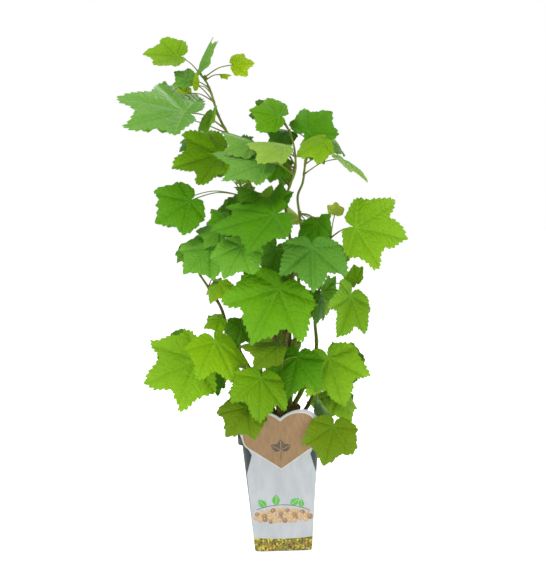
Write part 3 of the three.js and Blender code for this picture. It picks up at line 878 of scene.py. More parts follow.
leafTones = {
    "rich": (86, 160, 3), "deep": (74, 140, 3), "light": (130, 190, 22), "bright": (132, 194, 3),
    "fresh": (102, 172, 6), "warm": (112, 174, 3), "olive": (106, 150, 5), "cool": (84, 158, 34),
    "blue": (110, 178, 60), "dull": (106, 182, 40), "young": (164, 210, 18), "pale": (208, 240, 104),
    "silver": (118, 172, 106), "misty": (148, 198, 78),
}
glossyTones = ("blue", "silver", "dull", "cool")
veinPattern = {"spacing": 0.125, "slope": 0.85, "sectors": (0.41, 1.24), "turns": (0.82, 0.84)}
leafLook = {
    "gloss": 0.36, "matt": 0.14, "roughUpper": 0.36, "roughLower": 0.5, "main": 0.4, "side": 0.2,
    "relief": 0.002, "reliefStrength": 0.75, "throughLight": 0.2,
    "paleness": 0.35, "underTone": (150, 190, 130),
}
leafShades = {  # what a tone's red, green and blue are multiplied by, and what is added to them
    # dark: for the leaf's own mottle, and for painted shade towards the stalk end
    "dark": ((0.85, 0.85, 0.85), (0, 0, 0)),
    "warm": ((1.3, 1.04, 0.7), (0.015, 0, 0)),
    # rim: painted light, the blade paler towards its edge
    "rim": ((1.4, 1.28, 1.2), (0.02, 0, 0.03)),
    "vein": ((1.5, 1.2, 1), (0.05, 0.05, 0.04)),
}


def leafFinish(name, colour, lower, gloss):
    finish = Finish(name)
    place = finish.wire("ShaderNodeAttribute", {"attribute_name": "leafPlace"}, output="Vector")
    along, across, seed = finish.split(place)
    half = abs(across)
    angle = half.maths("ARCTAN2", half, along)
    toVein = angle - (angle > veinPattern["sectors"][0]) * veinPattern["turns"][0]
    toVein = toVein - (angle > veinPattern["sectors"][1]) * veinPattern["turns"][1]
    reach = (along * along + across * across) ** 0.5
    onVein = reach * toVein.maths("COSINE", toVein)
    fromVein = abs(reach * toVein.maths("SINE", toVein))
    width = (0.016 - onVein * 0.011).highest(0.004)
    main = 1 - fromVein.ramp(width * 0.3, width)
    order = (onVein - fromVein * veinPattern["slope"] + seed) / veinPattern["spacing"] + (across > 0) * 0.5
    order = order + finish.noise(place, 6.0, 3) * 2.2
    fromSide = abs(order.fraction() - 0.5)
    sideVein = (1 - fromSide.ramp(0.03, 0.1)) * reach.ramp(0.08, 0.2)
    toEdge = {"feature": "DISTANCE_TO_EDGE"}
    net = finish.wire("ShaderNodeTexVoronoi", toEdge, {"Vector": place, "Scale": 26.0})
    mottle = finish.noise(place, 5.0)
    dark, warm, paintedRimLight, veined = (shaded(colour, *shade) for shade in leafShades.values())
    base = finish.mix(mottle.ramp(0.35, 0.68) * 0.7, colour, dark)
    base = finish.mix((seed * 0.5 + reach * 0.25).lowest(0.6), base, warm)
    # painted shade: the blade is darker towards its stalk end
    base = finish.mix((1 - reach.ramp(0.05, 0.6)) * 0.7, base, dark)
    # painted light: the blade is paler towards its edge
    base = finish.mix(reach.ramp(0.4, 1.0) * 0.45, base, paintedRimLight)
    base = finish.mix((main * leafLook["main"]).highest(sideVein * leafLook["side"]), base, veined)
    relief = fromVein.ramp(0, 0.09) + fromSide.ramp(0, 0.4) * 0.45 + net.ramp(0, 0.3) * 0.3 + mottle * 0.5
    if lower:
        relief = relief * -1
    normal = finish.bump(relief, leafLook["relief"], leafLook["reliefStrength"])
    roughness = mottle * 0.14 + leafLook["roughLower" if lower else "roughUpper"]
    skin = finish.skin(base, roughness, normal, gloss)
    glow = finish.wire("ShaderNodeBsdfTranslucent", None, {"Color": warm})
    share = leafLook["throughLight"]
    return finish.end(finish.wire("ShaderNodeMixShader", None, {0: share, 1: skin, 2: glow}))


leafFinishes = {}
for tone, screen in leafTones.items():
    paler = tuple(lerp(c, under, leafLook["paleness"]) for c, under in zip(screen, leafLook["underTone"]))
    gloss = leafLook["gloss" if tone in glossyTones else "matt"]
    leafFinishes[tone] = {
        "upper": leafFinish("leaf_" + tone, tint(*screen), False, gloss),
        "lower": leafFinish("leaf_under_" + tone, tint(*paler), True, leafLook["matt"]),
    }
print("scene: leaf finishes ready")


# Blades in view find their room first, then those behind; a blade behind that still crosses one is left out

finerLeaves = {name: [] for name in masses}
stillCrossing = 0
for inView in (True, False):
    for index, name in enumerate(masses):
        for number, leaf in enumerate(grownLeaves[name][0]):
            if (leaf["facing"] is viewer) == inView:
                finer, crossed = grownBlade(leaf, 104729 + 3571 * index + 97 * number)
                if inView or crossed == 0:
                    finerLeaves[name].append(finer)
                    stillCrossing += crossed > 0
                else:
                    placedBlades.pop()
blades = sum(len(leaves) for leaves in finerLeaves.values())
print("scene:", blades, "blades,", stillCrossing, "in view still cross")

for name, leaves in finerLeaves.items():
    seat(leafPiece("foliage_" + name, leaves), "leaves", "leaves_" + name)
print("scene: leaves ready")


# Twigs and stalks: each mass's shoot with its stalks and buds

def stalkTube(leaf, twig):
    root = stalkRoot(leaf, twig)
    rib, side, normal = leafFrame(leaf)
    under, onward = shoot["under"]
    hub = leaf["hub"] - normal * under
    end = hub + rib * shoot["alongRib"] - normal * onward
    rise = shoot["stalkBow"] * np.linalg.norm(leaf["hub"] - root)
    bow = lerp(root, leaf["hub"], 0.5) + np.array([0, 0, rise])
    path = pathThrough([root, bow, hub, end], shoot["stalkSteps"])
    radii = np.interp(np.linspace(0, 1, len(path)), shoot["stalkShares"], shoot["stalkRadii"])
    radii = radii * (1 if isLarge(leaf) else shoot["smallStalk"])
    return ringsAlong(path, radii, shoot["stalkSides"]), len(path), shoot["stalkSides"]


def budTube(root, towards, size):  # a pointed bud that lies along a shoot
    away = unit(towards)
    path = [root + away * size * share for share in shoot["budShares"]]
    radii = [size * share for share in shoot["budRadii"]]
    return ringsAlong(np.array(path), radii, shoot["budSides"]), len(path), shoot["budSides"]


def tubesPiece(name, tubes, material):
    points, faces = [], []
    for rings, steps, sides in tubes:
        faces += tubeFaces(len(points), steps, sides)
        points += rings
    piece = meshPiece(name, points, faces, [material])
    smoothPiece(piece, 60)
    return piece


def twigTubes(name, draw):
    twig = grownLeaves[name][2]
    path = pathThrough(twig, len(twig) * shoot["stepsEach"])
    radii = np.linspace(*shoot["radius"], len(path))
    swell = np.zeros(len(path))
    tubes = []
    for leaf in finerLeaves[name]:
        root = stalkRoot(leaf, twig)
        distances = np.linalg.norm(path - root, axis=1)
        swell = np.maximum(swell, np.exp(-(distances / shoot["swellReach"]) ** 2))
        tubes.append(stalkTube(leaf, twig))
        upward = unit(leaf["hub"] - root) + np.array([0, 0, shoot["budUpward"]])
        size = shoot["budLength"] * lerp(*shoot["budSizes"], draw())
        tubes.append(budTube(root + np.array([0, 0, shoot["budAbove"]]), upward, size))
    rings = ringsAlong(path, radii * (1 + shoot["swell"] * swell), shoot["sides"])
    tubes.append((rings, len(path), shoot["sides"]))
    return tubes


# Stems and stool, with the relief of their bark

wood = {
    "footRadius": 3.6, "tipRadius": 1.7, "step": 2.4, "sides": 18, "ridge": 0.07,
    "nodeEvery": 38, "nodeSwell": 0.16, "nodeReach": 2.6, "nodeShift": 11,
    "budsFrom": 0.2, "budTurn": 2.4, "budOut": 0.8, "budSpread": 0.5, "budSize": 0.9,
    "stoolSides": 60, "stoolLobes": 5, "grain": 0.07, "knots": 0.06, "crack": 0.07, "crackWidth": 0.12,
    "soilTop": 149.3, "middle": (4, -6), "leaning": (0.1, -0.12),
    "cap": (1.6, 0.72),  # how far its last ring stands up, and that ring's size
    "stubGrain": 0.14, "cutEdge": 0.7,
    "stoolRings": [(0, 19, 0.26), (5, 15, 0.2), (12, 12.5, 0.12), (24, 11, 0.07), (38, 10.5, 0.05),
                   (46, 9.5, 0.05)],  # height, radius and how far the lobes stand out
    "stub": [[8, -12, 184], [20, -17, 190], [27, -19, 196]],
    "stubRadius": (6, 4.4), "stubSteps": 16, "stubSides": 20,
}


def stemTubes(name, index):
    points = stems[name]
    length = sum(np.linalg.norm(np.subtract(b, a)) for a, b in zip(points, points[1:]))
    path = pathThrough(points, int(length / wood["step"]))
    shares = np.linspace(0, 1, len(path))
    radii = lerp(wood["footRadius"], wood["tipRadius"], shares)
    spacing = wood["nodeEvery"]
    along = shares * length + wood["nodeShift"] * index
    fromNode = (along + spacing / 2) % spacing - spacing / 2
    radii = radii * (1 + wood["nodeSwell"] * np.exp(-(fromNode / wood["nodeReach"]) ** 2))

    def ridge(step, angle):
        broad = Vector((math.cos(angle) * 2.2 + 7 * index, math.sin(angle) * 2.2, along[step] * 0.05))
        fine = Vector((math.cos(angle) * 5, math.sin(angle) * 5 + 3 * index, along[step] * 0.22))
        return 1 + wood["ridge"] * noise.noise(broad) + 0.5 * wood["ridge"] * noise.noise(fine)

    tubes = [(ringsAlong(path, radii, wood["sides"], ridge), len(path), wood["sides"])]
    turn = 0.0
    sections = (along + spacing / 2) // spacing
    for step in range(2, len(path) - 1):
        if sections[step - 1] != sections[step] and shares[step] > wood["budsFrom"]:
            middle = min(step + int(spacing / 2 / wood["step"]), len(path) - 2)
            turn += wood["budTurn"]  # each bud stands further round the stem
            outward = np.array([math.cos(turn), math.sin(turn), 0.0])
            onward = unit(path[middle + 1] - path[middle])
            root = path[middle] + outward * radii[middle] * wood["budOut"]
            size = shoot["budLength"] * wood["budSize"]
            tubes.append(budTube(root, outward * wood["budSpread"] + onward, size))
    return tubes


def stoolTubes():
    ground = wood["soilTop"]
    heights = np.linspace(0, wood["stoolRings"][-1][0], 30)
    known = np.array(wood["stoolRings"])
    capRise, capSize = wood["cap"]
    leftRight, frontBack = wood["middle"]
    leanRight, leanBack = wood["leaning"]
    rings = []
    for height in [*heights, heights[-1] + capRise]:
        radius = np.interp(height, known[:, 0], known[:, 1]) * (capSize if height > heights[-1] else 1)
        lobes = np.interp(height, known[:, 0], known[:, 2])
        for side in range(wood["stoolSides"]):
            angle = 2 * math.pi * side / wood["stoolSides"]
            grain = noise.noise(Vector((3 * math.cos(angle), 3 * math.sin(angle), height * 0.035)))
            knots = noise.noise(Vector((1.4 * math.cos(angle) + 9, 1.4 * math.sin(angle), height * 0.07)))
            crack = abs(noise.noise(Vector((5 * math.cos(angle), 5 * math.sin(angle) + 4, height * 0.03))))
            lobe = lobes * math.cos(wood["stoolLobes"] * angle + 0.6)
            split = 1 - min(crack / wood["crackWidth"], 1)
            relief = wood["grain"] * grain + wood["knots"] * knots - wood["crack"] * split
            reach = radius * (1 + lobe + relief)
            x = leftRight + leanRight * height + reach * math.cos(angle)
            y = frontBack + leanBack * height + reach * math.sin(angle)
            rings.append(np.array([x, y, ground + height]))
    path = pathThrough(wood["stub"], wood["stubSteps"])
    radii = np.linspace(*wood["stubRadius"], len(path))
    radii[-1] *= wood["cutEdge"]  # its cut end is a little rounded

    def ridge(step, angle):
        place = Vector((2.4 * math.cos(angle), 2.4 * math.sin(angle), step * 0.16))
        return 1 + wood["stubGrain"] * noise.noise(place)

    stub = ringsAlong(path, radii, wood["stubSides"], ridge)
    return [(rings, len(heights) + 1, wood["stoolSides"]), (stub, len(path), wood["stubSides"])]


def barkFinish(name, colour, old, moss, roughness):
    finish = Finish(name)
    place = finish.place()
    streaks = finish.noise(finish.stretched(place, 0.16), 620.0, 4)
    patches = finish.noise(place, 55.0, 4)
    specks = finish.wire("ShaderNodeTexVoronoi", None, {"Vector": place, "Scale": 420.0})
    base = finish.mix(streaks.ramp(0.38, 0.66), colour, old)
    base = finish.mix(patches.ramp(0.5, 0.72) * 0.75, base, moss)
    base = finish.mix((1 - specks.ramp(0.08, 0.2)) * 0.3, base, tint(188, 174, 140))
    normal = finish.bump(streaks + patches * 0.4, 0.0006, 0.8)
    return finish.end(finish.skin(base, streaks * 0.2 + roughness, normal, 0.2))


oldBark = barkFinish("old_bark", tint(138, 116, 70), tint(46, 38, 18), tint(100, 124, 28), 0.7)
stemBark = barkFinish("stem_bark", tint(104, 104, 40), tint(64, 50, 26), tint(116, 128, 40), 0.6)
youngBark = barkFinish("young_bark", tint(118, 142, 18), tint(88, 96, 12), tint(134, 154, 30), 0.45)
stalkSkin = barkFinish("stalk_skin", tint(124, 142, 42), tint(98, 106, 36), tint(116, 90, 54), 0.42)
greenStems = ("leader", "right", "upright")

seat(tubesPiece("stool_wood", stoolTubes(), oldBark), "bark", "stool")
for index, name in enumerate(stems):
    bark = youngBark if name in greenStems else stemBark
    seat(tubesPiece("bough_" + name, stemTubes(name, index), bark), "bark", "stem_" + name)
for index, name in enumerate(masses):
    twigs = tubesPiece("twigs_" + name, twigTubes(name, seeded(501 + index)), stalkSkin)
    seat(twigs, "green_bark", "leaves_" + name)
print("scene: stems, twigs and stalks ready")


# Pot: a tapered square shell with a rim and skirt, drawn up level by level

pot = {
    "height": 160.8, "footHalf": 38.3, "wallTopHalf": 51.5, "wallTop": 149, "rimHalf": 57.2, "skirt": 11,
    "wall": 1.4, "floor": 1.8, "corner": 10, "drainRadius": 4.5, "drainReach": 22,
    "footEdge": [(1.2, 0), (0.2, 0.7)],  # in from the foot's side, and up
    "wallLevels": (4, 60, 110),
    "skirtDraft": 0.3,
    "skirtEdge": [(0.5, 0), (0.2, 1.2)],  # in from the rim, and up from the skirt's foot
    "rimEdge": [(0, 1), (0.5, 0.1), (1.6, 0)],  # in from the rim, and down from the top
    "mouthEdge": 0.8,
}


def outerHalf(z):
    return lerp(pot["footHalf"], pot["wallTopHalf"], z / pot["wallTop"])


def levelsUp(name, levels, corner):
    # a rounded square raised through (half width, height) levels, closed at both ends
    half, z = levels[0]
    cleanSelection()
    bpy.ops.mesh.primitive_plane_add(size=2 * half * millimetre, location=(0, 0, z * millimetre))
    piece = bpy.context.object
    piece.name = name
    bpy.ops.object.transform_apply(location=True, rotation=True, scale=True)
    bpy.ops.object.mode_set(mode="EDIT")
    bpy.ops.mesh.select_all(action="SELECT")
    bpy.ops.mesh.bevel(offset=corner * millimetre, segments=8, affect="VERTICES")
    for nextHalf, nextZ in levels[1:]:
        bpy.ops.mesh.extrude_region_move(
            TRANSFORM_OT_translate={"value": (0, 0, (nextZ - z) * millimetre)})
        size = nextHalf / half
        bpy.ops.transform.resize(value=(size, size, 1), center_override=(0, 0, 0))
        half, z = nextHalf, nextZ
    bpy.ops.mesh.select_all(action="SELECT")
    bpy.ops.mesh.normals_make_consistent(inside=False)
    bpy.ops.object.mode_set(mode="OBJECT")
    return piece


def cutHole(piece, x, y):  # a drain hole through the floor
    cleanSelection()
    bpy.ops.mesh.primitive_cylinder_add(
        vertices=32, radius=pot["drainRadius"] * millimetre, depth=8 * millimetre,
        location=(x * millimetre, y * millimetre, 0))
    drill = bpy.context.object
    pick(piece)
    cut = piece.modifiers.new("cut", "BOOLEAN")
    cut.object = drill
    cut.operation = "DIFFERENCE"
    cut.solver = "EXACT"
    bpy.ops.object.modifier_apply(modifier=cut.name)
    bpy.data.objects.remove(drill)


def potPiece():
    wall, rim, top, edge = pot["wall"], pot["rimHalf"], pot["height"], pot["mouthEdge"]
    skirtFoot = top - pot["skirt"]
    mouth = outerHalf(top) - wall
    levels = [(pot["footHalf"] - inward, up) for inward, up in pot["footEdge"]]
    levels += [(outerHalf(z), z) for z in (*pot["wallLevels"], skirtFoot, top - wall)]
    levels += [(rim - wall, top - wall), (rim - wall - pot["skirtDraft"], skirtFoot)]
    levels += [(rim - inward, skirtFoot + up) for inward, up in pot["skirtEdge"]]
    levels += [(rim - inward, top - down) for inward, down in pot["rimEdge"]]
    levels += [(mouth + edge, top), (mouth, top - edge), (outerHalf(pot["floor"]) - wall, pot["floor"])]
    shell = levelsUp("pot_shell", levels, pot["corner"])
    reach = pot["drainReach"]
    for x in (-reach, reach):
        for y in (-reach, reach):
            cutHole(shell, x, y)
    smoothPiece(shell, 28)
    return shell


def potFinish():
    finish = Finish("pot_plastic")
    place = finish.place()
    upward = finish.split(place)[2]
    grain = finish.noise(place, 900.0, 3)
    clouds = finish.noise(place, 22.0, 4)
    dust = finish.noise(finish.stretched(place, 0.3), 60.0, 5)
    base = finish.mix(clouds.ramp(0.3, 0.7), tint(32, 42, 48), tint(45, 55, 60))
    low = 1 - upward.ramp(0.0, 0.05)
    base = finish.mix(dust.ramp(0.52, 0.74) * (low * 0.45 + 0.12), base, tint(140, 132, 118))
    normal = finish.bump(grain + clouds * 0.5, 0.0002, 0.5)
    return finish.end(finish.skin(base, dust * 0.22 + 0.34, normal, 0.45))


shell = potPiece()
shell.data.materials.append(potFinish())
seat(shell, "pot", "pot")
print("scene: pot ready")


# Soil: a filled block with a crumbled top, and loose crumbs of bark and moss on it

soil = {
    "top": 149, "low": 1.4, "rings": 26, "sides": 96, "relief": 2.2,
    "gap": (0.5, 0.6), "corners": (12.5, 9.5),  # to the pot's wall, at the top and at the floor
    "crumbs": 260, "crumbSize": (0.9, 2.6), "crumbMargin": 4, "crumbCorner": 12,
}


def squareReach(half, corner, angle):  # how far a rounded square reaches at an angle
    c, s = abs(math.cos(angle)), abs(math.sin(angle))
    flat = half / max(c, s)
    inner = half - corner
    if min(c, s) * flat <= inner:
        return flat
    middle = inner * (c + s)
    return middle + math.sqrt(max(middle ** 2 - 2 * inner ** 2 + corner ** 2, 0))


def soilHeight(x, y):
    coarse = noise.noise(Vector((x * 0.045, y * 0.045, 3)))
    fine = noise.noise(Vector((x * 0.22, y * 0.22, 8)))
    return soil["top"] - soil["low"] + soil["relief"] * (0.6 * coarse + 0.45 * fine)


def soilPiece():
    half, lowHalf = (outerHalf(z) - pot["wall"] - gap
                     for z, gap in zip((soil["top"], pot["floor"]), soil["gap"]))
    corner, lowCorner = soil["corners"]
    points, sides = [np.array([0, 0, soilHeight(0, 0)])], soil["sides"]
    for ring in range(1, soil["rings"] + 1):
        for side in range(sides):
            angle = 2 * math.pi * side / sides
            reach = squareReach(half, corner, angle) * ring / soil["rings"]
            x, y = reach * math.cos(angle), reach * math.sin(angle)
            points.append(np.array([x, y, soilHeight(x, y)]))
    for side in range(sides):
        angle = 2 * math.pi * side / sides
        reach = squareReach(lowHalf, lowCorner, angle)
        points.append(np.array([reach * math.cos(angle), reach * math.sin(angle), pot["floor"] + 0.4]))
    faces = [(0, 1 + side, 1 + (side + 1) % sides) for side in range(sides)]
    for ring in range(soil["rings"]):
        for side in range(sides):
            a, b = 1 + ring * sides + side, 1 + ring * sides + (side + 1) % sides
            faces.append((a, a + sides, b + sides, b))
    faces.append(tuple(1 + soil["rings"] * sides + side for side in reversed(range(sides))))
    piece = meshPiece("soil_block", points, faces, [soilFinish("potting_soil", 0)])
    smoothPiece(piece, 40)
    return piece


def crumbPiece():
    draw = seeded(9091)
    cleanSelection()
    bpy.ops.mesh.primitive_ico_sphere_add(subdivisions=1, radius=1)
    pattern = bpy.context.object
    corners = np.array([corner.co for corner in pattern.data.vertices])
    sides = [tuple(face.vertices) for face in pattern.data.polygons]
    bpy.data.objects.remove(pattern)
    half = outerHalf(soil["top"]) - pot["wall"] - soil["crumbMargin"]
    points, faces = [], []
    for number in range(soil["crumbs"]):
        angle, share = 2 * math.pi * draw(), math.sqrt(lerp(0.1, 0.9, draw()))
        reach = squareReach(half, soil["crumbCorner"], angle) * share
        x, y = reach * math.cos(angle), reach * math.sin(angle)
        size = lerp(*soil["crumbSize"], draw() ** 2)
        stretch = np.array([lerp(0.7, 1.6, draw()), lerp(0.6, 1.2, draw()), lerp(0.45, 0.8, draw())])
        jitter = np.array([[lerp(0.8, 1.2, draw())] for corner in corners])
        turn = Matrix.Rotation(6.3 * draw(), 3, "Z") @ Matrix.Rotation(0.5 * draw(), 3, "X")
        lump = (corners * jitter * stretch * size) @ np.array(turn).T
        faces += [tuple(corner + len(points) for corner in side) for side in sides]
        points += list(lump + np.array([x, y, soilHeight(x, y) + 0.25 * size]))
    piece = meshPiece("soil_crumbs", points, faces, [soilFinish("soil_crumbs_finish", 0.35)])
    smoothPiece(piece, 30)
    return piece


def soilFinish(name, light):
    finish = Finish(name)
    place = finish.place()
    clods = finish.noise(place, 210.0, 5)
    patches = finish.noise(place, 38.0, 3)
    base = finish.mix(clods.ramp(0.35, 0.68), tint(48, 34, 24), tint(112, 84, 58))
    base = finish.mix(patches.ramp(0.56, 0.7) * (0.5 + light), base, tint(112, 122, 48))
    normal = finish.bump(clods + patches * 0.5, 0.0014, 0.9)
    return finish.end(finish.skin(base, clods * 0.15 + 0.82, normal))


seat(soilPiece(), "soil", "soil")
seat(crumbPiece(), "soil")
print("scene: soil ready")


# Label: a leaning card with a heart-shaped head, and a generic berry print laid on it

label = {
    "thickness": 0.8, "lowEdge": 1.2, "backLow": 38.85, "foot": 38.6, "wide": 46.4, "wideAt": 109.6,
    "waist": 38.9, "aside": 0.5, "waistAt": 137.2, "heart": 54.6, "top": 200.3, "cleft": 187.6, "ink": 0.05,
    "belly": 37, "shoulder": 9,  # below the top
    "corner": 3, "rim": 1.7, "bandSide": 19.6, "bandMiddle": 17.2, "bandInset": 0.1,
    "panel": [(0, 117.3), (43.5, 147.6)],  # the heart's tip and its side, then the curves over its top
    "panelCurves": [[(48.4, 151.4), (50, 157), (50, 163.5)], [(50.4, 172), (49.6, 180), (42.4, 187.4)],
                    [(35.2, 195.6), (16, 198.6), (0, 182.9)]],
}
lean = math.atan((pot["rimHalf"] - label["backLow"]) / (pot["height"] - pot["skirt"] - label["lowEdge"]))


def onLabel(x, along, lift):  # across the card, up along it, and out from its back
    return np.stack([x + label["aside"], -label["backLow"] - along * math.sin(lean) - lift * math.cos(lean),
                     label["lowEdge"] + along * math.cos(lean) - lift * math.sin(lean)], axis=-1)


def curved(*controls, steps=12):  # a Bezier curve's points, without its first
    made = []
    for share in np.linspace(0, 1, steps + 1)[1:]:
        points = [np.array(control, float) for control in controls]
        while len(points) > 1:
            points = [lerp(a, b, share) for a, b in zip(points, points[1:])]
        made.append(tuple(points[0]))
    return made


def mirrored(half):  # closes a half outline whose ends lie on the middle line
    return half + [(-x, y) for x, y in half[-2:0:-1]]


def roundedFoot(foot, edge):
    corner = label["corner"]
    return [(0, edge), (foot - corner, edge),
            *curved((foot - corner, edge), (foot, edge), (foot, corner), steps=5)]


def cardOutline():
    heart, top, cleft = label["heart"], label["top"], label["cleft"]
    belly, shoulder = top - label["belly"], top - label["shoulder"]
    half = roundedFoot(label["foot"], 0)
    half += [(label["wide"], label["wideAt"]), (label["waist"], label["waistAt"]), (heart - 1.4, belly)]
    half += curved(half[-1], (heart + 2, belly + 7), (heart + 1, shoulder - 9.5), (heart - 8, shoulder))
    half += curved(half[-1], (heart - 16, top + 0.4), (heart - 35, top + 3), (0, cleft))
    return mirrored(half)


def panelOutline():  # the heart inside the card's head
    half = list(label["panel"])
    for curve in label["panelCurves"]:
        half += curved(half[-1], *curve)
    return mirrored(half)


def rimOutline():  # a pale line round the heart
    line = np.array(panelOutline())
    onward = unitRows(np.roll(line, -1, axis=0) - np.roll(line, 1, axis=0))
    return [tuple(point) for point in line + quarterTurned(onward) * label["rim"]]


def bandOutline():
    inset, side, middle = label["bandInset"], label["bandSide"], label["bandMiddle"]
    foot = label["foot"] - 1.5 * inset
    upSide = (side - label["corner"]) / (label["wideAt"] - label["corner"])
    edge = lerp(foot, label["wide"], upSide) - inset
    half = [*roundedFoot(foot, inset), (edge, side)]
    half += curved((edge, side), (edge * 0.5, middle), (0, middle))
    return mirrored(half)


def cutCard(name, outline, low, high, material):
    # a flat curve filled and given its thickness, made a mesh, then laid against the pot
    curve = bpy.data.curves.new(name, "CURVE")
    curve.dimensions = "2D"
    curve.fill_mode = "BOTH"
    curve.extrude = (high - low) / 2
    spline = curve.splines.new("POLY")
    spline.points.add(len(outline) - 1)
    for point, (x, along) in zip(spline.points, outline):
        point.co = (x, along, 0, 1)
    spline.use_cyclic_u = True
    piece = bpy.data.objects.new(name, curve)
    bpy.context.scene.collection.objects.link(piece)
    pick(piece)
    bpy.ops.object.convert(target="MESH")
    piece = bpy.context.object
    bpy.ops.object.mode_set(mode="EDIT")
    bpy.ops.mesh.select_all(action="SELECT")
    bpy.ops.mesh.remove_doubles(threshold=0.001)
    bpy.ops.mesh.normals_make_consistent(inside=False)
    bpy.ops.object.mode_set(mode="OBJECT")
    flat = np.array([corner.co for corner in piece.data.vertices])
    placed = onLabel(flat[:, 0], flat[:, 1], flat[:, 2] + (low + high) / 2) * millimetre
    piece.data.vertices.foreach_set("co", placed.ravel())
    piece.data.update()
    piece.data.materials.append(material)
    smoothPiece(piece, 30)
    return piece


def paperFinish(name, first, second, scale, roughness):
    finish = Finish(name)
    place = finish.place()
    fibres = finish.noise(finish.stretched(place, 0.35), scale, 5)
    fine = finish.noise(place, 1800.0, 2)
    flecks = finish.wire("ShaderNodeTexVoronoi", None, {"Vector": place, "Scale": 60.0})
    base = finish.mix(fibres.ramp(0.3, 0.7), first, second)
    base = finish.mix((1 - flecks.ramp(0.03, 0.06)) * 0.25, base, shaded(first, (0.5, 0.5, 0.5)))
    normal = finish.bump(fine, 0.00008, 0.5)
    return finish.end(finish.skin(base, fibres * 0.12 + roughness, normal))


def bandFinish():
    finish = Finish("mottled_band")
    place = finish.place()
    cells = finish.wire("ShaderNodeTexVoronoi", None, {"Vector": place, "Scale": 430.0}, output="Color")
    red, green, blue = finish.split(cells)
    clouds = finish.noise(place, 160.0, 4)
    base = finish.mix(red.ramp(0.3, 0.7), tint(112, 118, 24), tint(206, 186, 54))
    base = finish.mix((green > 0.66) * 0.8, base, tint(138, 94, 34))
    base = finish.mix((blue > 0.8) * 0.85, base, tint(52, 50, 22))
    base = finish.mix(clouds.ramp(0.5, 0.66) * 0.7, base, tint(78, 76, 22))
    return finish.end(finish.skin(base, 0.5))


paper = paperFinish("label_card", tint(169, 175, 180), tint(181, 185, 190), 90.0, 0.42)
rimPaper = paperFinish("label_rim", tint(190, 188, 180), tint(200, 199, 192), 90.0, 0.42)
kraft = paperFinish("label_kraft", tint(156, 125, 88), tint(143, 113, 79), 260.0, 0.6)
inks = {
    "berry": paperFinish("ink_berry", tint(182, 150, 108), tint(198, 168, 126), 700.0, 0.45),
    "shade": paperFinish("ink_shade", tint(140, 106, 72), tint(160, 126, 90), 700.0, 0.45),
    "shine": paperFinish("ink_shine", tint(216, 206, 186), tint(222, 214, 196), 300.0, 0.45),
    "leaf": paperFinish("ink_leaf", tint(70, 160, 60), tint(96, 182, 76), 300.0, 0.45),
    "dark": paperFinish("ink_dark", tint(84, 70, 56), tint(96, 82, 66), 300.0, 0.5),
}


def placedRing(ring, x, y, turn):  # points turned about their middle, which is put at x, y
    c, s = math.cos(turn), math.sin(turn)
    return [(x + a * c - b * s, y + a * s + b * c) for a, b in ring]


def ellipse(x, y, wide, high, turn=0.0, sides=24):
    angles = [2 * math.pi * side / sides for side in range(sides)]
    return placedRing([(wide * math.cos(angle), high * math.sin(angle)) for angle in angles], x, y, turn)


def strokeAlong(points, width):  # an even line along points, as an outline
    line = np.array(points, float)
    off = quarterTurned(unitRows(np.gradient(line, axis=0))) * width / 2
    return [tuple(point) for point in [*(line + off), *(line - off)[::-1]]]


def printedLeaf(x, y, length, turn, teeth=7):  # an oval leaf with a few teeth, from its foot
    half = []
    for step in range(teeth * 2 + 1):
        share = step / (teeth * 2)
        wide = 0.34 * math.sin(math.pi * share ** 0.85) * (1.08 if step % 2 else 0.92)
        half.append((share * length, wide * length))
    return placedRing(half + [(a, -b) for a, b in half[-2:0:-1]], x, y, turn)


def printedRib(x, y, length, turn, width):
    away = (length * math.cos(turn), length * math.sin(turn))
    return strokeAlong([(x + share * away[0], y + share * away[1]) for share in (0, 0.5, 1)], width)


printed = {
    "twig": ((-38, 58), (-14, 69), (16, 68), (37, 57)), "twigWidth": 0.9,
    "sprig": ((-22, 62.5, 15, 2.3), (-9, 65, 16, 1.5), (11, 65, 15, 0.7), (25, 61.5, 12, 1.5)),
    "rows": ((11, 58), (12, 53), (10, 48), (6, 43.5)),  # how many berries, and how high
    "apart": 6.7, "scatter": 0.8, "sag": 0.004, "size": (3.2, 3.9),
    "heartLeaf": (0, 143), "heartTurns": (0.5, 1.57, 2.64), "heartLength": 15, "heartRib": 13,
    "heartStalk": ((0, 143), (0.4, 137), (0, 131)),
}


def berryPrint():
    # a bunch that hangs from a bowed twig, and a small sprig in the heart; each shape with its ink
    shapes = []
    for x, y, length, turn in printed["sprig"]:
        shapes.append((printedLeaf(x, y, length, turn), "leaf"))
        shapes.append((printedRib(x, y, 0.85 * length, turn, 0.35), "shine"))
    shapes.append((strokeAlong(curved(*printed["twig"], steps=24), printed["twigWidth"]), "dark"))
    draw = seeded(77)
    scatter = printed["scatter"]
    for row, (count, height) in enumerate(printed["rows"]):
        for number in range(count):
            x = (number - (count - 1) / 2) * printed["apart"] + lerp(-scatter, scatter, draw())
            y = height + lerp(-scatter, scatter, draw()) - printed["sag"] * x * x
            size = lerp(*printed["size"], draw())
            shapes.append((ellipse(x, y, size, size), "shade" if (number + row) % 3 == 0 else "berry"))
            shapes.append((ellipse(x - 0.9, y + 1, 0.7, 0.5, 0.6, 12), "shine"))
            shapes.append((ellipse(x + 0.5, y - size * 0.7, 0.5, 0.4, 0, 10), "dark"))
    for turn in printed["heartTurns"]:
        shapes.append((printedLeaf(*printed["heartLeaf"], printed["heartLength"], turn), "dark"))
        shapes.append((printedRib(*printed["heartLeaf"], printed["heartRib"], turn, 0.5), "berry"))
    shapes.append((strokeAlong(curved(*printed["heartStalk"], steps=6), 1.0), "dark"))
    return shapes


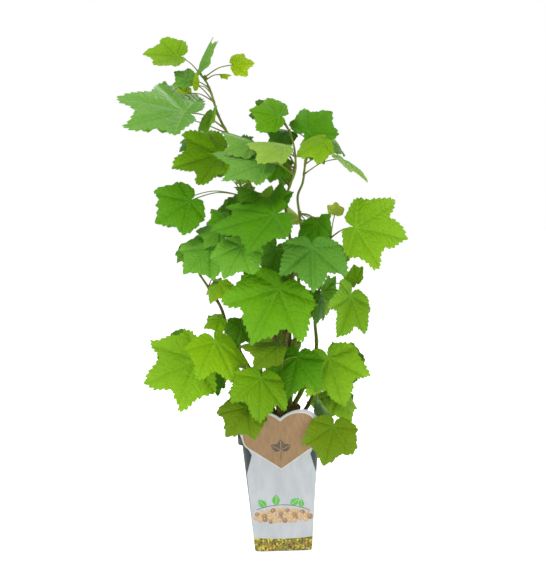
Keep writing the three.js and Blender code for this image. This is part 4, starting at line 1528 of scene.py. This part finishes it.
def printPiece(shapes):
    names = list(inks)
    points, faces, slots = [], [], []
    for number, (outline, ink) in enumerate(shapes):
        flat = np.array(outline)
        turns = np.roll(flat, -1, axis=0)
        if (flat[:, 0] * turns[:, 1] - turns[:, 0] * flat[:, 1]).sum() < 0:
            flat = flat[::-1]
        count, first = len(flat), len(points)
        lift = label["thickness"] + label["ink"] * (1.1 if flat[:, 1].min() > 120 else 0.1) + 0.002 * number
        points += list(onLabel(flat[:, 0], flat[:, 1], label["thickness"] - 0.1))
        points += list(onLabel(flat[:, 0], flat[:, 1], lift))
        faces.append(tuple(first + k for k in reversed(range(count))))
        faces.append(tuple(first + count + k for k in range(count)))
        faces += [(first + k, first + (k + 1) % count, first + count + (k + 1) % count, first + count + k)
                  for k in range(count)]
        slots += [names.index(ink)] * (count + 2)
    return meshPiece("label_print", points, faces, list(inks.values()), slots)


thick = label["thickness"]
seat(cutCard("label_card", cardOutline(), 0, thick, paper), "label", "label")
seat(cutCard("label_rim", rimOutline(), thick - 0.1, thick + 0.5 * label["ink"], rimPaper), "label")
seat(cutCard("label_heart", panelOutline(), thick - 0.1, thick + label["ink"], kraft), "label")
seat(cutCard("label_band", bandOutline(), thick - 0.1, thick + label["ink"], bandFinish()), "label")
seat(printPiece(berryPrint()), "label")
print("scene: label ready")


# Studio: pale floor, soft lights, and the photograph's viewing angle

studio = {
    "floor": 8.0, "floorTone": (246, 246, 245), "floorGlow": 0.75,
    "worldTone": (250, 250, 250), "worldStrength": 0.5,
    "eye": (-3.965, -1800, 520), "pitch": 5.199, "roll": 1.6, "lens": 83.35, "filmHeight": 36.0,
    "lights": {  # place in metres, size, power, tone
        "key": ((-1.0, -1.3, 2.1), 1.2, 28, (255, 253, 246)),
        "fill": ((1.5, -1.7, 0.8), 1.4, 8, (246, 250, 255)),
        "back": ((0.6, 1.5, 1.8), 1.3, 22, (255, 255, 250)),
    },
}


def addFloor():
    cleanSelection()
    bpy.ops.mesh.primitive_circle_add(
        vertices=96, radius=studio["floor"], fill_type="NGON", location=(0, 0, -0.0004))
    floor = bpy.context.object
    floor.name = "floor"
    finish = Finish("floor_paint")
    faint = finish.noise(finish.place(), 3.0)
    base = finish.mix(faint, tint(*studio["floorTone"]), tint(*studio["worldTone"]))
    paint = finish.wire("ShaderNodeBsdfPrincipled", None, {
        "Base Color": base, "Roughness": 0.8, "Emission Color": base,
        "Emission Strength": studio["floorGlow"]})
    floor.data.materials.append(finish.end(paint))


def addWorld():
    world = bpy.data.worlds.new("studio")
    bpy.context.scene.world = world
    world.use_nodes = True
    tree = world.node_tree
    sky = tree.nodes["Background"]
    sky.inputs["Color"].default_value = tint(*studio["worldTone"])
    sky.inputs["Strength"].default_value = studio["worldStrength"]
    backdrop = tree.nodes.new("ShaderNodeBackground")  # shows behind the plant, brighter than its light
    backdrop.inputs["Color"].default_value = (1, 1, 1, 1)
    path = tree.nodes.new("ShaderNodeLightPath")
    choice = tree.nodes.new("ShaderNodeMixShader")
    tree.links.new(path.outputs["Is Camera Ray"], choice.inputs[0])
    tree.links.new(sky.outputs[0], choice.inputs[1])
    tree.links.new(backdrop.outputs[0], choice.inputs[2])
    tree.links.new(choice.outputs[0], tree.nodes["World Output"].inputs["Surface"])


def addLights():
    target = Vector((0, 0, 0.36))
    for name, (place, size, power, screen) in studio["lights"].items():
        lamp = bpy.data.lights.new(name, "AREA")
        lamp.shape = "DISK"
        lamp.size = size
        lamp.energy = power
        lamp.color = tint(*screen)[:3]
        light = bpy.data.objects.new(name, lamp)
        light.location = place
        light.rotation_euler = (target - Vector(place)).to_track_quat("-Z", "Y").to_euler()
        bpy.context.scene.collection.objects.link(light)


def addCamera():
    pitch, roll = math.radians(studio["pitch"]), math.radians(studio["roll"])
    forward = Vector((0, math.cos(pitch), -math.sin(pitch)))
    level, above = Vector((1, 0, 0)), Vector((0, math.sin(pitch), math.cos(pitch)))
    right = level * math.cos(roll) - above * math.sin(roll)
    up = level * math.sin(roll) + above * math.cos(roll)
    film = bpy.data.cameras.new("camera")
    film.sensor_fit = "VERTICAL"
    film.sensor_height = studio["filmHeight"]
    film.lens = studio["lens"]
    film.clip_end = 50
    camera = bpy.data.objects.new("camera", film)
    turn = Matrix((right, up, -forward)).transposed()
    camera.matrix_world = Matrix.Translation(Vector(studio["eye"]) * millimetre) @ turn.to_4x4()
    bpy.context.scene.collection.objects.link(camera)
    bpy.context.scene.camera = camera


addFloor()
addWorld()
addLights()
addCamera()
bpy.context.scene.view_settings.view_transform = "Standard"
print("scene: studio ready")
